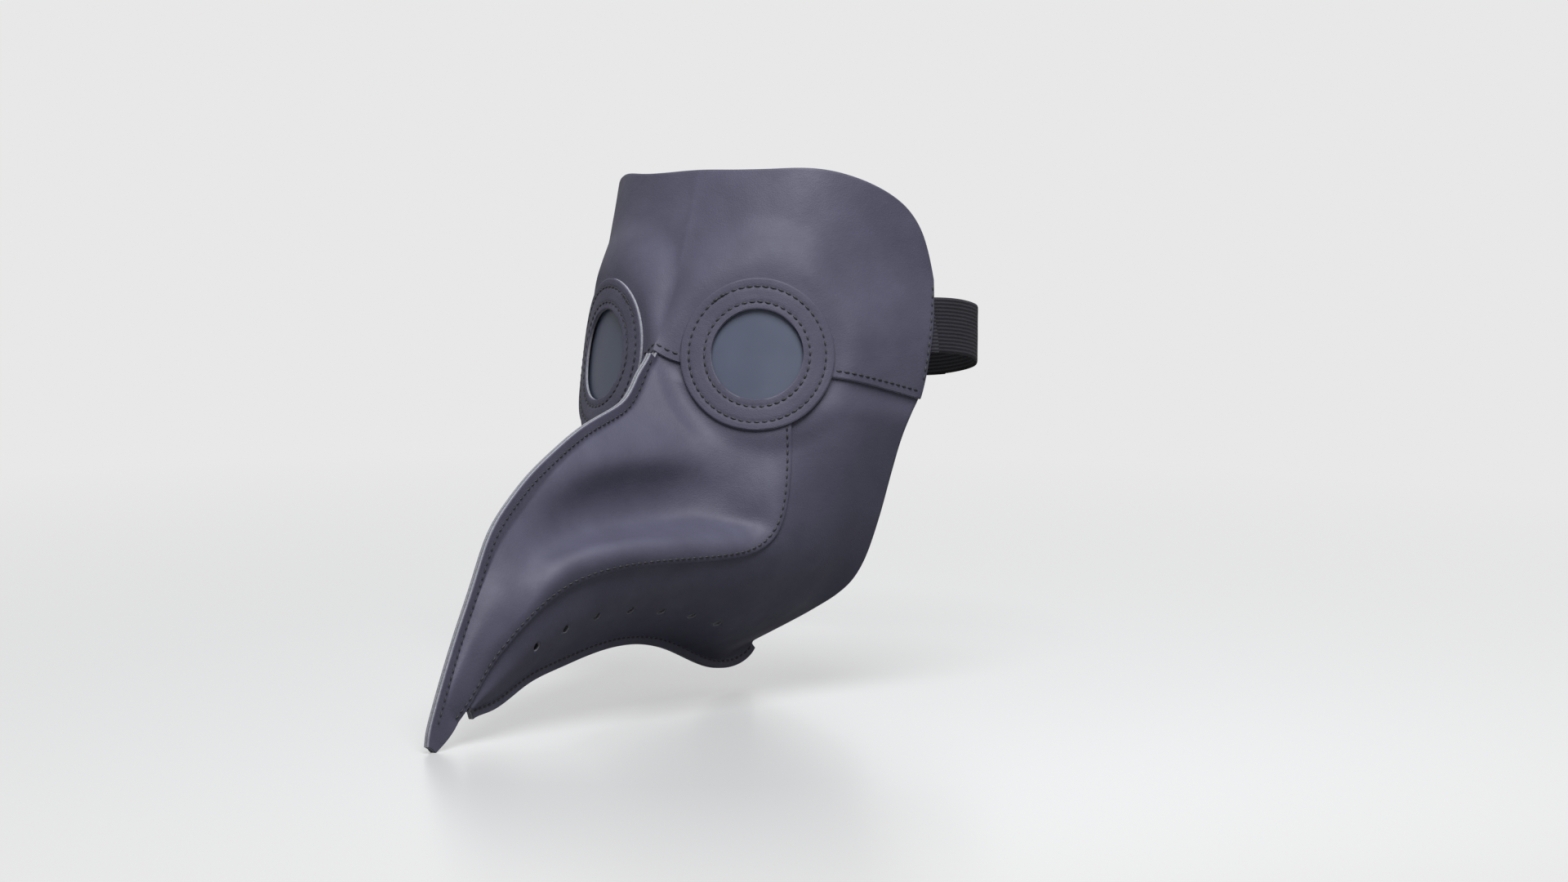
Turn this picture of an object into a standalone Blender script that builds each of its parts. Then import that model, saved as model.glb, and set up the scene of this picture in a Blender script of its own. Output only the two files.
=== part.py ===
"""Plague doctor mask: sewn leather panels, two lens windows and an elastic head strap.

Lengths below are in millimetres and are scaled to metres when a mesh is made.
+Z is up, -Y is forward along the beak, +X is the wearer's left.
The origin lies between the eyes, just behind the middle of the brow seam.
"""
import math

import bpy
import numpy as np

MM = 0.001

# Leather shell
LEATHER = 1.6
LAYER_GAP = 0.3
LAP_GAP = 0.5
LAP_SINK = LEATHER + LAP_GAP
FLANGE_FACE = LEATHER + LAYER_GAP / 2
RIDGE_FLANGE = 5.5
BROW_FLANGE = 2.5
TIP_FLANGE = 4.0
KEEL_FLANGE = 4.0

# Net rows and columns that carry the seams
BROW_ROW = 3.0
CHIN_ROW = 7.0
CHEEK_END_ROW = 14.0
TIP_ROW = 16.0
LAP_COLUMN = 4.0
EDGE_COLUMN = 6.0
RIM_COLUMN = 5.85
BROW_TUCK = 0.35
BROW_OVERLAP = 0.15
TUCK_FIRST_CELL = 5
RIDGE_START_ROW = 3.2
FULL_FLANGE_ROW = 4.3
TAPER_ROW = 15.0
FLANGE_LEVELS = (1.0, 0.6)
FOLD_COLUMNS = [0.0, 0.08, 0.2]
BROW_RAMP = (3.12, 3.95)
LAP_RAMP = (4.15, 5.0)
COLUMNS_PER_STRIP = 3
FOREHEAD_LAST_ROW = 2.4
FOREHEAD_ROWS = 10
UPPER_ROWS = 14
BEAK_ROWS = 25
TIP_ROWS = 8
NEWTON_STEPS = 12
NET_STEP = 0.01

# Eye windows
EYE_CENTRE = np.array((50.5, 29.1, 0.0))
EYE_YAW = math.radians(31.0)
EYE_PITCH = math.radians(7.6)
EYE_BEND_RADIUS = 144.0
EYE_BEND_SKEW = 2.4e-5
EYE_FLAT_RADIUS = 43.0
EYE_BLEND_RADIUS = 56.0
EYE_BLEND_RISE = 22.0
EYE_HOLE_RADIUS = 33.0
RING_RADIUS = 41.6
RING_OPENING = 24.7
RING_GAP = 0.5
RING_EDGE_ROUND = 0.35
LENS_RADIUS = 31.5
LENS_FACE = -1.1
LENS_THICKNESS = 1.0
RING_STEPS = 56
LENS_STEPS = 48
LENS_CIRCLES = 3
EYE_CUT_REACH = 25.0
EYE_CUT_STEPS = 48

# Vent holes in each cheek, as (Y, Z) on the left side
VENT_RADIUS = 2.5
VENT_CUT_REACH = 7.0
VENT_CUT_STEPS = 12
VENT_FIRST_GUESS = (10.0, 5.0)
VENT_SPOTS = (
    (-126.0, -157.0), (-104.0, -147.5), (-81.0, -141.0), (-55.0, -138.0),
    (-30.0, -138.5), (-5.0, -141.0), (18.0, -145.0),
)

# Elastic strap
STRAP_THICKNESS = 1.2
STRAP_WIDTH = 30.0
STRAP_HALF_SPAN = 97.4
STRAP_DEPTH = 115.6
STRAP_START_Y = 126.8
STRAP_TOP = 31.0
STRAP_DROP = 12.0
STRAP_TAB_LENGTH = 16.4
TAB_SINK = LEATHER + LAYER_GAP
HINGE_Y = 126.0
LEFT_END_ANGLE = 104.0
FLAP_START_ANGLE = 103.0
FLAP_END_ANGLE = 76.0
PATCH_FIRST_ANGLE = 78.0
PATCH_LAST_ANGLE = 101.0
PATCH_THICKNESS = 1.0
PATCH_MARGIN = 1.5
LOOP_OFFSET = STRAP_THICKNESS + LAYER_GAP
HOOK_OFFSET = LOOP_OFFSET + PATCH_THICKNESS + LAYER_GAP
OUTER_OFFSET = HOOK_OFFSET + PATCH_THICKNESS + LAYER_GAP
HINGE_GAP_ANGLE = 0.5
MERGE_FIRST_ANGLE = 112.0
MERGE_LAST_ANGLE = 172.0
BAND_LEVELS = 4
LEFT_BAND_STEPS = 27
RIGHT_BAND_STEPS = 20
FLAP_STEPS = 9
PATCH_STEPS = 8
TAB_HINGE_GAP = 1.2
TAB_MARGIN = 0.5
TAB_RIM_MARGIN = 1.0
TAB_STEPS = 5
TAB_FIRST_GUESS = (1.6, 5.7)

# Left half of the mask: each row runs from the centre line to the rim or the keel.
NET = np.array((
    ((0, 46, 100), (23, 48.6, 100), (45, 56, 100.5), (66, 70, 100),
     (84.5, 92, 91.3), (95, 115.8, 72.5), (99.5, 126, 40)),
    ((0, 27, 50), (19, 30, 50), (39, 36, 50), (59, 48, 50),
     (76.5, 67, 48), (91, 95, 42), (101.5, 123.5, 28)),
    ((0, 14.5, 22), (16.5, 12.5, 20), (32.5, 21.8, 19.5), (50, 32, 19.5),
     (68.5, 43.2, 19), (88.5, 66, 13), (104, 117, 4)),
    ((0, 3.5, 2.5), (13.2, 9.6, -4), (32, 18.2, -6), (50.5, 28.4, -8),
     (68, 39.2, -10), (88, 60, -13.5), (102.5, 109, -24)),
    ((0, -6, -12), (13.5, 5, -17), (31, 16, -22), (49.5, 26.5, -27),
     (67.5, 37.5, -32), (86.5, 60, -38), (97, 99.3, -45)),
    ((0, -18.5, -27), (12, -6, -31), (28, 8.5, -37), (49, 23, -46),
     (68.5, 36, -57), (81, 63, -73), (79, 95, -103)),
    ((0, -36, -35.5), (12, -20.5, -41), (27.5, -1.5, -50), (47.5, 14.5, -66),
     (68, 28, -90), (64, 63, -117.5), (50.5, 94, -133.5)),
    ((0, -58, -43), (10, -40.5, -49), (22.5, -19, -58), (40, 1.5, -76),
     (62, 13, -106), (43, 54, -139), (0, 94, -156)),
    ((0, -81.5, -53.9), (8.5, -63, -58.5), (16.5, -41, -67), (33, -24, -84),
     (54, -15, -111), (38, 23, -142), (0, 60, -165)),
    ((0, -106, -67.6), (7, -86, -72), (15, -67, -80), (32, -58, -94),
     (45, -52, -113), (31, -18, -139), (0, 15, -154.5)),
    ((0, -128.6, -83.4), (6.5, -110, -86.5), (16, -95, -93), (30, -91, -103),
     (36, -85, -117), (25, -62, -139), (0, -35, -153.5)),
    ((0, -145.7, -100.4), (7, -132.5, -102.5), (15.5, -122.5, -107), (25, -119.5, -115),
     (27, -115, -127), (19, -97, -147), (0, -80, -163)),
    ((0, -158.6, -123.7), (8, -153, -125), (14.5, -146.5, -129), (18.5, -142.5, -136),
     (18.5, -140, -145), (13.5, -128, -161.5), (0, -115, -173)),
    ((0, -170.4, -144.7), (6, -168, -146), (10, -164, -150), (12, -161.5, -157),
     (11, -160, -167), (8.5, -153, -178.5), (0, -146, -186.3)),
    ((0, -182.6, -167.6), (3.6, -182, -170), (5.2, -179, -175), (5.6, -176, -181),
     (5, -173, -188), (4, -170, -190.5), (0, -167, -192)),
    ((0, -197.8, -199), (0, -196.5, -200), (0, -194, -201), (0, -190, -202),
     (0, -185.5, -203), (0, -184, -204), (0, -183, -205)),
    ((0, -203, -211.5), (0, -202.5, -212), (0, -202, -212.5), (0, -201.3, -213),
     (0, -200.5, -213.5), (0, -200, -214), (0, -199.5, -214.5)),
), dtype=float)

EYE_NORMAL = np.array((
    math.sin(EYE_YAW) * math.cos(EYE_PITCH),
    -math.cos(EYE_YAW) * math.cos(EYE_PITCH),
    math.sin(EYE_PITCH),
))
EYE_ACROSS = np.array((math.cos(EYE_YAW), math.sin(EYE_YAW), 0.0))
EYE_UP = np.cross(EYE_NORMAL, EYE_ACROSS)


def smooth(value, low, high):
    t = np.clip((value - low) / (high - low), 0.0, 1.0)
    return t * t * (3.0 - 2.0 * t)


def spline_weights(count, params):
    """Weights that carry `count` control values to a natural cubic spline at `params`."""
    matrix = 4.0 * np.eye(count) + np.eye(count, k=1) + np.eye(count, k=-1)
    matrix[0] = np.eye(count)[0]
    matrix[-1] = np.eye(count)[-1]
    second = np.zeros((count, count))
    for i in range(1, count - 1):
        second[i, i - 1:i + 2] = (6.0, -12.0, 6.0)
    curve = np.linalg.solve(matrix, second)
    weights = np.zeros((len(params), count))
    for k, u in enumerate(params):
        i = min(int(u), count - 2)
        t = u - i
        weights[k, i] += 1.0 - t
        weights[k, i + 1] += t
        weights[k] += ((1.0 - t) ** 3 - (1.0 - t)) / 6.0 * curve[i]
        weights[k] += (t ** 3 - t) / 6.0 * curve[i + 1]
    return weights


def eye_bend(across):
    """Depth of the eye face: bent round the head, more on its outer side."""
    return -across ** 2 / (2.0 * EYE_BEND_RADIUS) - EYE_BEND_SKEW * across ** 3


def press_onto_eye(points):
    """Lay the leather around the eye onto the gently bent face of the ring."""
    offset = points - EYE_CENTRE
    across = offset @ EYE_ACROSS
    up = offset @ EYE_UP
    depth = offset @ EYE_NORMAL
    reach = np.hypot(across, up)
    above = np.maximum(up, 0.0) / np.maximum(reach, 1.0)
    weight = 1.0 - smooth(reach, EYE_FLAT_RADIUS, EYE_BLEND_RADIUS + EYE_BLEND_RISE * above ** 2)
    return points + (weight * (eye_bend(across) - depth))[..., None] * EYE_NORMAL


def body_surface(rows, columns):
    """Outer face of the left half at the given net rows and columns."""
    row_weights = spline_weights(NET.shape[0], rows)
    column_weights = spline_weights(NET.shape[1], columns)
    points = np.einsum("ai,bj,ijk->abk", row_weights, column_weights, NET)
    return press_onto_eye(points)


def body_normals(rows, columns):
    """Outward directions of the left half, from short steps along the net."""
    rows = np.asarray(rows)
    columns = np.asarray(columns)
    last_row = NET.shape[0] - 1.0
    last_column = NET.shape[1] - 1.0
    down = (body_surface(np.minimum(rows + NET_STEP, last_row), columns)
            - body_surface(np.maximum(rows - NET_STEP, 0.0), columns))
    out = (body_surface(rows, np.minimum(columns + NET_STEP, last_column))
           - body_surface(rows, np.maximum(columns - NET_STEP, 0.0)))
    normal = np.cross(down, out)
    length = np.linalg.norm(normal, axis=2, keepdims=True)
    return normal / np.maximum(length, 1e-9)


def grid_normals(grid):
    down = np.gradient(grid, axis=0)
    out = np.gradient(grid, axis=1)
    normal = np.cross(down, out)
    return normal / np.linalg.norm(normal, axis=2, keepdims=True)


def off_centre_plane(grid):
    grid[..., 0] = np.maximum(grid[..., 0], FLANGE_FACE)
    return grid


def turned_out(line, width, sign):
    """A seam line in the centre plane moved outwards by `width`, for the flange's edge."""
    along = np.gradient(line, axis=0)
    out = np.stack((np.zeros(len(line)), along[:, 2], -along[:, 1]), axis=1) * sign
    out /= np.linalg.norm(out, axis=1, keepdims=True)
    edge = line + out * np.asarray(width)[:, None]
    edge[:, 0] = FLANGE_FACE
    return edge


def spread(low, high, count):
    return list(np.linspace(low, high, count))


def strip_columns(first, last):
    """Columns shared by all panels, so that their facets lie parallel where they lap."""
    return [k / COLUMNS_PER_STRIP for k in range(first * COLUMNS_PER_STRIP, last * COLUMNS_PER_STRIP + 1)]


def tuck_rows():
    return [BROW_ROW - BROW_TUCK, BROW_ROW - BROW_OVERLAP, BROW_ROW]


def grid_cells(shape):
    return np.ones((shape[0] - 1, shape[1] - 1), dtype=bool)


def shell_mesh(outer, inner, cells):
    """Closed body between two grids, kept only where `cells` is true."""
    count = outer.shape[0] * outer.shape[1]
    width = outer.shape[1]
    faces = []
    edges = {}
    for i, j in zip(*np.nonzero(cells)):
        a = int(i) * width + int(j)
        quad = (a, a + width, a + width + 1, a + 1)
        for triangle in (quad[:3], (quad[0], quad[2], quad[3])):
            faces.append(triangle)
            faces.append(tuple(k + count for k in reversed(triangle)))
        for first, second in zip(quad, quad[1:] + quad[:1]):
            if (second, first) in edges:
                del edges[(second, first)]
            else:
                edges[(first, second)] = True
    for first, second in edges:
        faces.append((second, first, first + count, second + count))
    points = np.concatenate((outer.reshape(-1, 3), inner.reshape(-1, 3)))
    used = sorted({k for face in faces for k in face})
    renumber = {old: new for new, old in enumerate(used)}
    return points[used], [tuple(renumber[k] for k in face) for face in faces]


def mirrored(points, faces):
    return points * np.array((-1.0, 1.0, 1.0)), [tuple(reversed(face)) for face in faces]


def make_material(name, colour, roughness):
    material = bpy.data.materials.new(name)
    material.use_nodes = True
    shader = material.node_tree.nodes["Principled BSDF"]
    shader.inputs["Base Color"].default_value = (*colour, 1.0)
    shader.inputs["Roughness"].default_value = roughness
    return material


def make_object(name, points, faces, colour, roughness, origin=(0.0, 0.0, 0.0)):
    mesh = bpy.data.meshes.new(name)
    local = (points - np.asarray(origin)) * MM
    mesh.from_pydata([tuple(p) for p in local], [], faces)
    mesh.materials.append(make_material(name + "_material", colour, roughness))
    item = bpy.data.objects.new(name, mesh)
    item.location = [value * MM for value in origin]
    bpy.context.scene.collection.objects.link(item)
    return item


LEATHER_LOOK = ((0.095, 0.095, 0.115), 0.55)
LENS_LOOK = ((0.09, 0.11, 0.15), 0.35)
STRAP_LOOK = ((0.03, 0.03, 0.038), 0.9)
PATCH_LOOK = ((0.02, 0.02, 0.022), 0.95)


def both_sides(name, points, faces, look):
    left = make_object(name + "_left", points, faces, *look)
    points, faces = mirrored(points, faces)
    right = make_object(name + "_right", points, faces, *look)
    return left, right


def forehead_panel():
    rows = spread(0.0, FOREHEAD_LAST_ROW, FOREHEAD_ROWS) + tuck_rows()
    columns = strip_columns(0, 6)
    columns.insert(-1, RIM_COLUMN)
    half = body_surface(rows, columns)
    flipped = half[:, :0:-1] * np.array((-1.0, 1.0, 1.0))
    outer = np.concatenate((flipped, half), axis=1)
    inner = outer - grid_normals(outer) * LEATHER
    points, faces = shell_mesh(outer, inner, grid_cells(outer.shape[:2]))
    return make_object("forehead_panel", points, faces, *LEATHER_LOOK)


def brow_sink(rows):
    """Depth of the lower panels under the forehead's edge, fading out below the seam."""
    return LAP_SINK * (1.0 - smooth(np.asarray(rows), *BROW_RAMP))


def panel_rows():
    """Rows of the cheek, and of the beak top as far as the cheek goes."""
    rows = tuck_rows() + spread(RIDGE_START_ROW, CHIN_ROW, UPPER_ROWS)
    return rows + spread(CHIN_ROW, CHEEK_END_ROW, BEAK_ROWS)[1:]


def ridge_width(rows):
    """Width of the turned-out seam: narrow at the brow, full along the beak, less at the tip."""
    width = BROW_FLANGE + (RIDGE_FLANGE - BROW_FLANGE) * smooth(rows, RIDGE_START_ROW, FULL_FLANGE_ROW)
    return width - (RIDGE_FLANGE - TIP_FLANGE) * smooth(rows, TAPER_ROW, TIP_ROW)


def beak_tops():
    rows = panel_rows() + spread(CHEEK_END_ROW, TIP_ROW, TIP_ROWS)[1:]
    columns = FOLD_COLUMNS + strip_columns(0, 4)[1:]
    outer = body_surface(rows, columns)
    outer -= body_normals(rows, columns) * brow_sink(rows)[:, None, None]
    beak = slice(rows.index(RIDGE_START_ROW), None)
    outer = off_centre_plane(outer)
    ridge = body_surface(rows, [0.0])[:, 0]
    edge = turned_out(ridge, ridge_width(np.asarray(rows)), 1.0)
    ridge[:, 0] = FLANGE_FACE
    outer[beak, 0] = 0.5 * outer[beak, 0] + 0.25 * (outer[beak, 1] + ridge[beak])
    flange = [(share * edge + (1.0 - share) * ridge)[:, None] for share in FLANGE_LEVELS]
    outer = np.concatenate((*flange, outer), axis=1)
    inner = thinned(outer)
    inner[:, :len(flange), 0] = LAYER_GAP / 2
    cells = grid_cells(outer.shape[:2])
    cells[:beak.start, :TUCK_FIRST_CELL] = False
    points, faces = shell_mesh(outer, inner, cells)
    return both_sides("beak_top", points, faces, LEATHER_LOOK)


def thinned(outer):
    """Inner face of the leather, kept just off the centre plane."""
    inner = outer - grid_normals(outer) * LEATHER
    inner[..., 0] = np.maximum(inner[..., 0], LAYER_GAP / 2)
    return inner


def cheeks():
    rows = panel_rows()
    chin_index = rows.index(CHIN_ROW)
    columns = [LAP_COLUMN - 1.0 / COLUMNS_PER_STRIP] + strip_columns(4, 6)
    columns.insert(-1, RIM_COLUMN)
    lap_sink = LAP_SINK * (1.0 - smooth(np.asarray(columns), *LAP_RAMP))
    sink = brow_sink(rows)[:, None] + lap_sink[None, :]
    outer = body_surface(rows, columns) - body_normals(rows, columns) * sink[..., None]
    outer = off_centre_plane(outer)
    keel = body_surface(rows, [EDGE_COLUMN])[:, 0]
    edge = turned_out(keel, np.full(len(rows), KEEL_FLANGE), -1.0)
    keel[:, 0] = FLANGE_FACE
    middle = 0.5 * (edge + keel)
    beak = slice(chin_index, None)
    outer[beak, -1] = 0.5 * outer[beak, -1] + 0.25 * (outer[beak, -2] + keel[beak])
    step = outer[:chin_index, -1] - outer[:chin_index, -2]
    middle[:chin_index] = outer[:chin_index, -1] + step
    edge[:chin_index] = middle[:chin_index] + step
    outer = np.concatenate((outer, middle[:, None], edge[:, None]), axis=1)
    inner = thinned(outer)
    inner[beak, -2:, 0] = LAYER_GAP / 2
    cells = grid_cells(outer.shape[:2])
    cells[:chin_index, -2:] = False
    points, faces = shell_mesh(outer, inner, cells)
    return both_sides("cheek", points, faces, LEATHER_LOOK)


def on_eye_face(across, up, height):
    """Points over the bent eye face from distances across and up, raised by `height`."""
    depth = height + eye_bend(across)
    return (EYE_CENTRE + across[..., None] * EYE_ACROSS + up[..., None] * EYE_UP
            + depth[..., None] * EYE_NORMAL)


def ring_mesh():
    """Leather annulus swept round a rounded rectangular section."""
    low = RING_GAP
    high = RING_GAP + LEATHER
    round_off = RING_EDGE_ROUND
    middle = (RING_OPENING + RING_RADIUS) / 2
    section = (
        (RING_OPENING, low), (RING_OPENING, high - round_off), (RING_OPENING + round_off, high),
        (middle, high), (RING_RADIUS - round_off, high), (RING_RADIUS, high - round_off),
        (RING_RADIUS, low), (middle, low),
    )
    angles = np.arange(RING_STEPS) * 2.0 * math.pi / RING_STEPS
    radius = np.array([point[0] for point in section])
    height = np.array([point[1] for point in section])
    across = np.cos(angles)[:, None] * radius
    up = np.sin(angles)[:, None] * radius
    points = on_eye_face(across, up, np.broadcast_to(height, across.shape)).reshape(-1, 3)
    count = len(section)
    faces = []
    for i in range(RING_STEPS):
        after = (i + 1) % RING_STEPS
        for j in range(count):
            a = i * count + j
            b = i * count + (j + 1) % count
            c = after * count + (j + 1) % count
            d = after * count + j
            faces.append((a, b, c, d))
    return points, faces


def lens_mesh():
    """Thin disc bent with the ring above it: on each face a centre point and circles out to its edge."""
    steps = LENS_STEPS
    angles = np.arange(steps) * 2.0 * math.pi / steps
    points = []
    for height in (LENS_FACE, LENS_FACE - LENS_THICKNESS):
        points.append(on_eye_face(np.zeros(1), np.zeros(1), np.full(1, height)))
        for k in range(LENS_CIRCLES):
            radius = LENS_RADIUS * (k + 1) / LENS_CIRCLES
            across = np.cos(angles) * radius
            up = np.sin(angles) * radius
            points.append(on_eye_face(across, up, np.full(steps, height)))
    back = 1 + LENS_CIRCLES * steps
    faces = []
    for i in range(steps):
        j = (i + 1) % steps
        faces.append((0, 1 + i, 1 + j))
        faces.append((back, back + 1 + j, back + 1 + i))
        for k in range(LENS_CIRCLES - 1):
            near = 1 + k * steps
            far = near + steps
            faces.append((near + i, far + i, far + j, near + j))
            faces.append((back + near + j, back + far + j, back + far + i, back + near + i))
        edge = 1 + (LENS_CIRCLES - 1) * steps
        faces.append((edge + i, back + edge + i, back + edge + j, edge + j))
    return np.concatenate(points), faces


def prism(centre, axis, radius, half_length, steps):
    """Closed cylinder along `axis`, for cutting a round hole."""
    axis = np.asarray(axis) / np.linalg.norm(axis)
    side = np.cross(axis, (0.0, 0.0, 1.0))
    side /= np.linalg.norm(side)
    up = np.cross(side, axis)
    angles = np.arange(steps) * 2.0 * math.pi / steps
    ring = radius * (np.cos(angles)[:, None] * side + np.sin(angles)[:, None] * up)
    points = np.concatenate((centre + ring - axis * half_length, centre + ring + axis * half_length))
    faces = [tuple(range(steps)), tuple(range(2 * steps - 1, steps - 1, -1))]
    for i in range(steps):
        j = (i + 1) % steps
        faces.append((i, i + steps, j + steps, j))
    return points, faces


def make_cutter(name, bodies):
    points = []
    faces = []
    start = 0
    for body_points, body_faces in bodies:
        points.append(body_points)
        faces += [tuple(k + start for k in face) for face in body_faces]
        start += len(body_points)
    cutter = make_object(name, np.concatenate(points), faces, *LEATHER_LOOK)
    cutter.hide_render = True
    cutter.display_type = "WIRE"
    return cutter


def cut(item, cutter):
    modifier = item.modifiers.new("cut_" + cutter.name, "BOOLEAN")
    modifier.operation = "DIFFERENCE"
    modifier.solver = "EXACT"
    modifier.use_self = True
    modifier.object = cutter


def net_spot(y, z, row, column):
    """Point of the net with the given Y and Z, and its normal, by Newton steps from a first guess."""
    for _ in range(NEWTON_STEPS):
        here = body_surface([row], [column])[0, 0]
        down = (body_surface([row + NET_STEP], [column])[0, 0] - here) / NET_STEP
        out = (body_surface([row], [column + NET_STEP])[0, 0] - here) / NET_STEP
        slope = np.array(((down[1], out[1]), (down[2], out[2])))
        change = np.linalg.solve(slope, (y - here[1], z - here[2]))
        row += change[0]
        column += change[1]
    normal = np.cross(down, out)
    return here, normal / np.linalg.norm(normal)


def cut_openings(forehead, tops, cheek_panels):
    eye = prism(EYE_CENTRE, EYE_NORMAL, EYE_HOLE_RADIUS, EYE_CUT_REACH, EYE_CUT_STEPS)
    eye_left = make_cutter("cutter_eye_left", [eye])
    eye_right = make_cutter("cutter_eye_right", [mirrored(*eye)])
    vents = []
    for y, z in VENT_SPOTS:
        spot, normal = net_spot(y, z, *VENT_FIRST_GUESS)
        vents.append(prism(spot, normal, VENT_RADIUS, VENT_CUT_REACH, VENT_CUT_STEPS))
    vents_left = make_cutter("cutter_vents_left", vents)
    vents_right = make_cutter("cutter_vents_right", [mirrored(*vent) for vent in vents])
    cut(forehead, eye_left)
    cut(forehead, eye_right)
    for left, right in (tops, cheek_panels):
        cut(left, eye_left)
        cut(right, eye_right)
    cut(cheek_panels[0], vents_left)
    cut(cheek_panels[1], vents_right)


def loop_point(angle, offset):
    """Point of the head loop in plan, `offset` outside the inner layer's inner face."""
    turn = np.radians(angle)
    along = np.stack((-STRAP_HALF_SPAN * np.sin(turn), STRAP_DEPTH * np.cos(turn)), axis=-1)
    out = np.stack((along[..., 1], -along[..., 0]), axis=-1)
    out /= np.linalg.norm(out, axis=-1, keepdims=True)
    centre = np.stack((STRAP_HALF_SPAN * np.cos(turn), STRAP_START_Y + STRAP_DEPTH * np.sin(turn)), axis=-1)
    return centre + out * np.asarray(offset)[..., None]


def band(angles, offsets, thickness, margin):
    """Closed strip of the loop between two angles, `offsets` out and `margin` inside its edges."""
    angles = np.asarray(angles, dtype=float)
    levels = np.linspace(0.0, 1.0, BAND_LEVELS)
    drop = STRAP_DROP * smooth(np.minimum(angles, 180.0 - angles), 0.0, 90.0)
    top = STRAP_TOP - drop - margin
    bottom = STRAP_TOP - STRAP_WIDTH - drop + margin
    grids = []
    for lift in (thickness, 0.0):
        plan = loop_point(angles, offsets + lift)
        grid = np.zeros((len(angles), len(levels), 3))
        grid[..., :2] = plan[:, None]
        grid[..., 2] = top[:, None] + (bottom - top)[:, None] * levels
        grids.append(grid)
    points, faces = shell_mesh(grids[1], grids[0], grid_cells(grids[0].shape[:2]))
    return points, faces


def outer_layer(angles):
    """Offset of the right half, which lies over the patches and joins the inner line further on."""
    merged = smooth(np.asarray(angles, dtype=float), MERGE_FIRST_ANGLE, MERGE_LAST_ANGLE)
    return OUTER_OFFSET * (1.0 - merged)


def hinge_origin(side):
    return (side * (STRAP_HALF_SPAN + STRAP_THICKNESS / 2), HINGE_Y, STRAP_TOP - STRAP_WIDTH / 2)


def strap_parts():
    left_angles = spread(0.0, LEFT_END_ANGLE, LEFT_BAND_STEPS)
    points, faces = band(left_angles, np.zeros(len(left_angles)), STRAP_THICKNESS, 0.0)
    make_object("strap_left", points, faces, *STRAP_LOOK, origin=hinge_origin(1.0))
    right_angles = spread(FLAP_START_ANGLE + HINGE_GAP_ANGLE, 180.0, RIGHT_BAND_STEPS)
    points, faces = band(right_angles, outer_layer(right_angles), STRAP_THICKNESS, 0.0)
    make_object("strap_right", points, faces, *STRAP_LOOK, origin=hinge_origin(-1.0))
    patch_angles = spread(PATCH_FIRST_ANGLE, PATCH_LAST_ANGLE, PATCH_STEPS)
    points, faces = band(patch_angles, np.full(PATCH_STEPS, LOOP_OFFSET), PATCH_THICKNESS, PATCH_MARGIN)
    make_object("loop_patch", points, faces, *PATCH_LOOK, origin=hinge_origin(1.0))
    pivot = loop_point(np.array(FLAP_START_ANGLE + HINGE_GAP_ANGLE / 2),
                       np.array(OUTER_OFFSET + STRAP_THICKNESS))
    pivot = (float(pivot[0]), float(pivot[1]), STRAP_TOP - STRAP_WIDTH / 2)
    flap_angles = spread(FLAP_END_ANGLE, FLAP_START_ANGLE, FLAP_STEPS)
    points, faces = band(flap_angles, outer_layer(flap_angles), STRAP_THICKNESS, 0.0)
    make_object("strap_flap", points, faces, *STRAP_LOOK, origin=pivot)
    points, faces = band(patch_angles, np.full(PATCH_STEPS, HOOK_OFFSET), PATCH_THICKNESS, PATCH_MARGIN)
    make_object("hook_patch", points, faces, *PATCH_LOOK, origin=pivot)


def strap_tabs():
    """Sewn ends of the elastic, flat against the inside of the forehead panel at the rim."""
    last_y = HINGE_Y - TAB_HINGE_GAP
    ys = np.linspace(last_y - STRAP_TAB_LENGTH, last_y, TAB_STEPS)
    zs = np.linspace(STRAP_TOP - TAB_MARGIN, STRAP_TOP - STRAP_WIDTH + TAB_MARGIN, TAB_STEPS)
    grid = np.zeros((TAB_STEPS, TAB_STEPS, 3))
    normal = np.zeros((TAB_STEPS, TAB_STEPS, 3))
    for i, z in enumerate(zs):
        for j, y in enumerate(ys):
            grid[i, j], normal[i, j] = net_spot(y - TAB_RIM_MARGIN, z, *TAB_FIRST_GUESS)
    outer = grid - normal * TAB_SINK
    inner = outer - normal * STRAP_THICKNESS
    points, faces = shell_mesh(outer, inner, grid_cells(grid.shape[:2]))
    both_sides("strap_tab", points, faces, STRAP_LOOK)


def main():
    for item in list(bpy.data.objects):
        bpy.data.objects.remove(item, do_unlink=True)
    forehead = forehead_panel()
    tops = beak_tops()
    cheek_panels = cheeks()
    cut_openings(forehead, tops, cheek_panels)
    both_sides("eye_ring", *ring_mesh(), LEATHER_LOOK)
    both_sides("lens", *lens_mesh(), LENS_LOOK)
    strap_parts()
    strap_tabs()


main()
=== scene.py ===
"""Looks of the plague doctor mask: fine leather panels, real stitches, elastic band, studio.

Lengths are in millimetres until a mesh is made. The net below is the CAD's own net.
"""
import math

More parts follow.
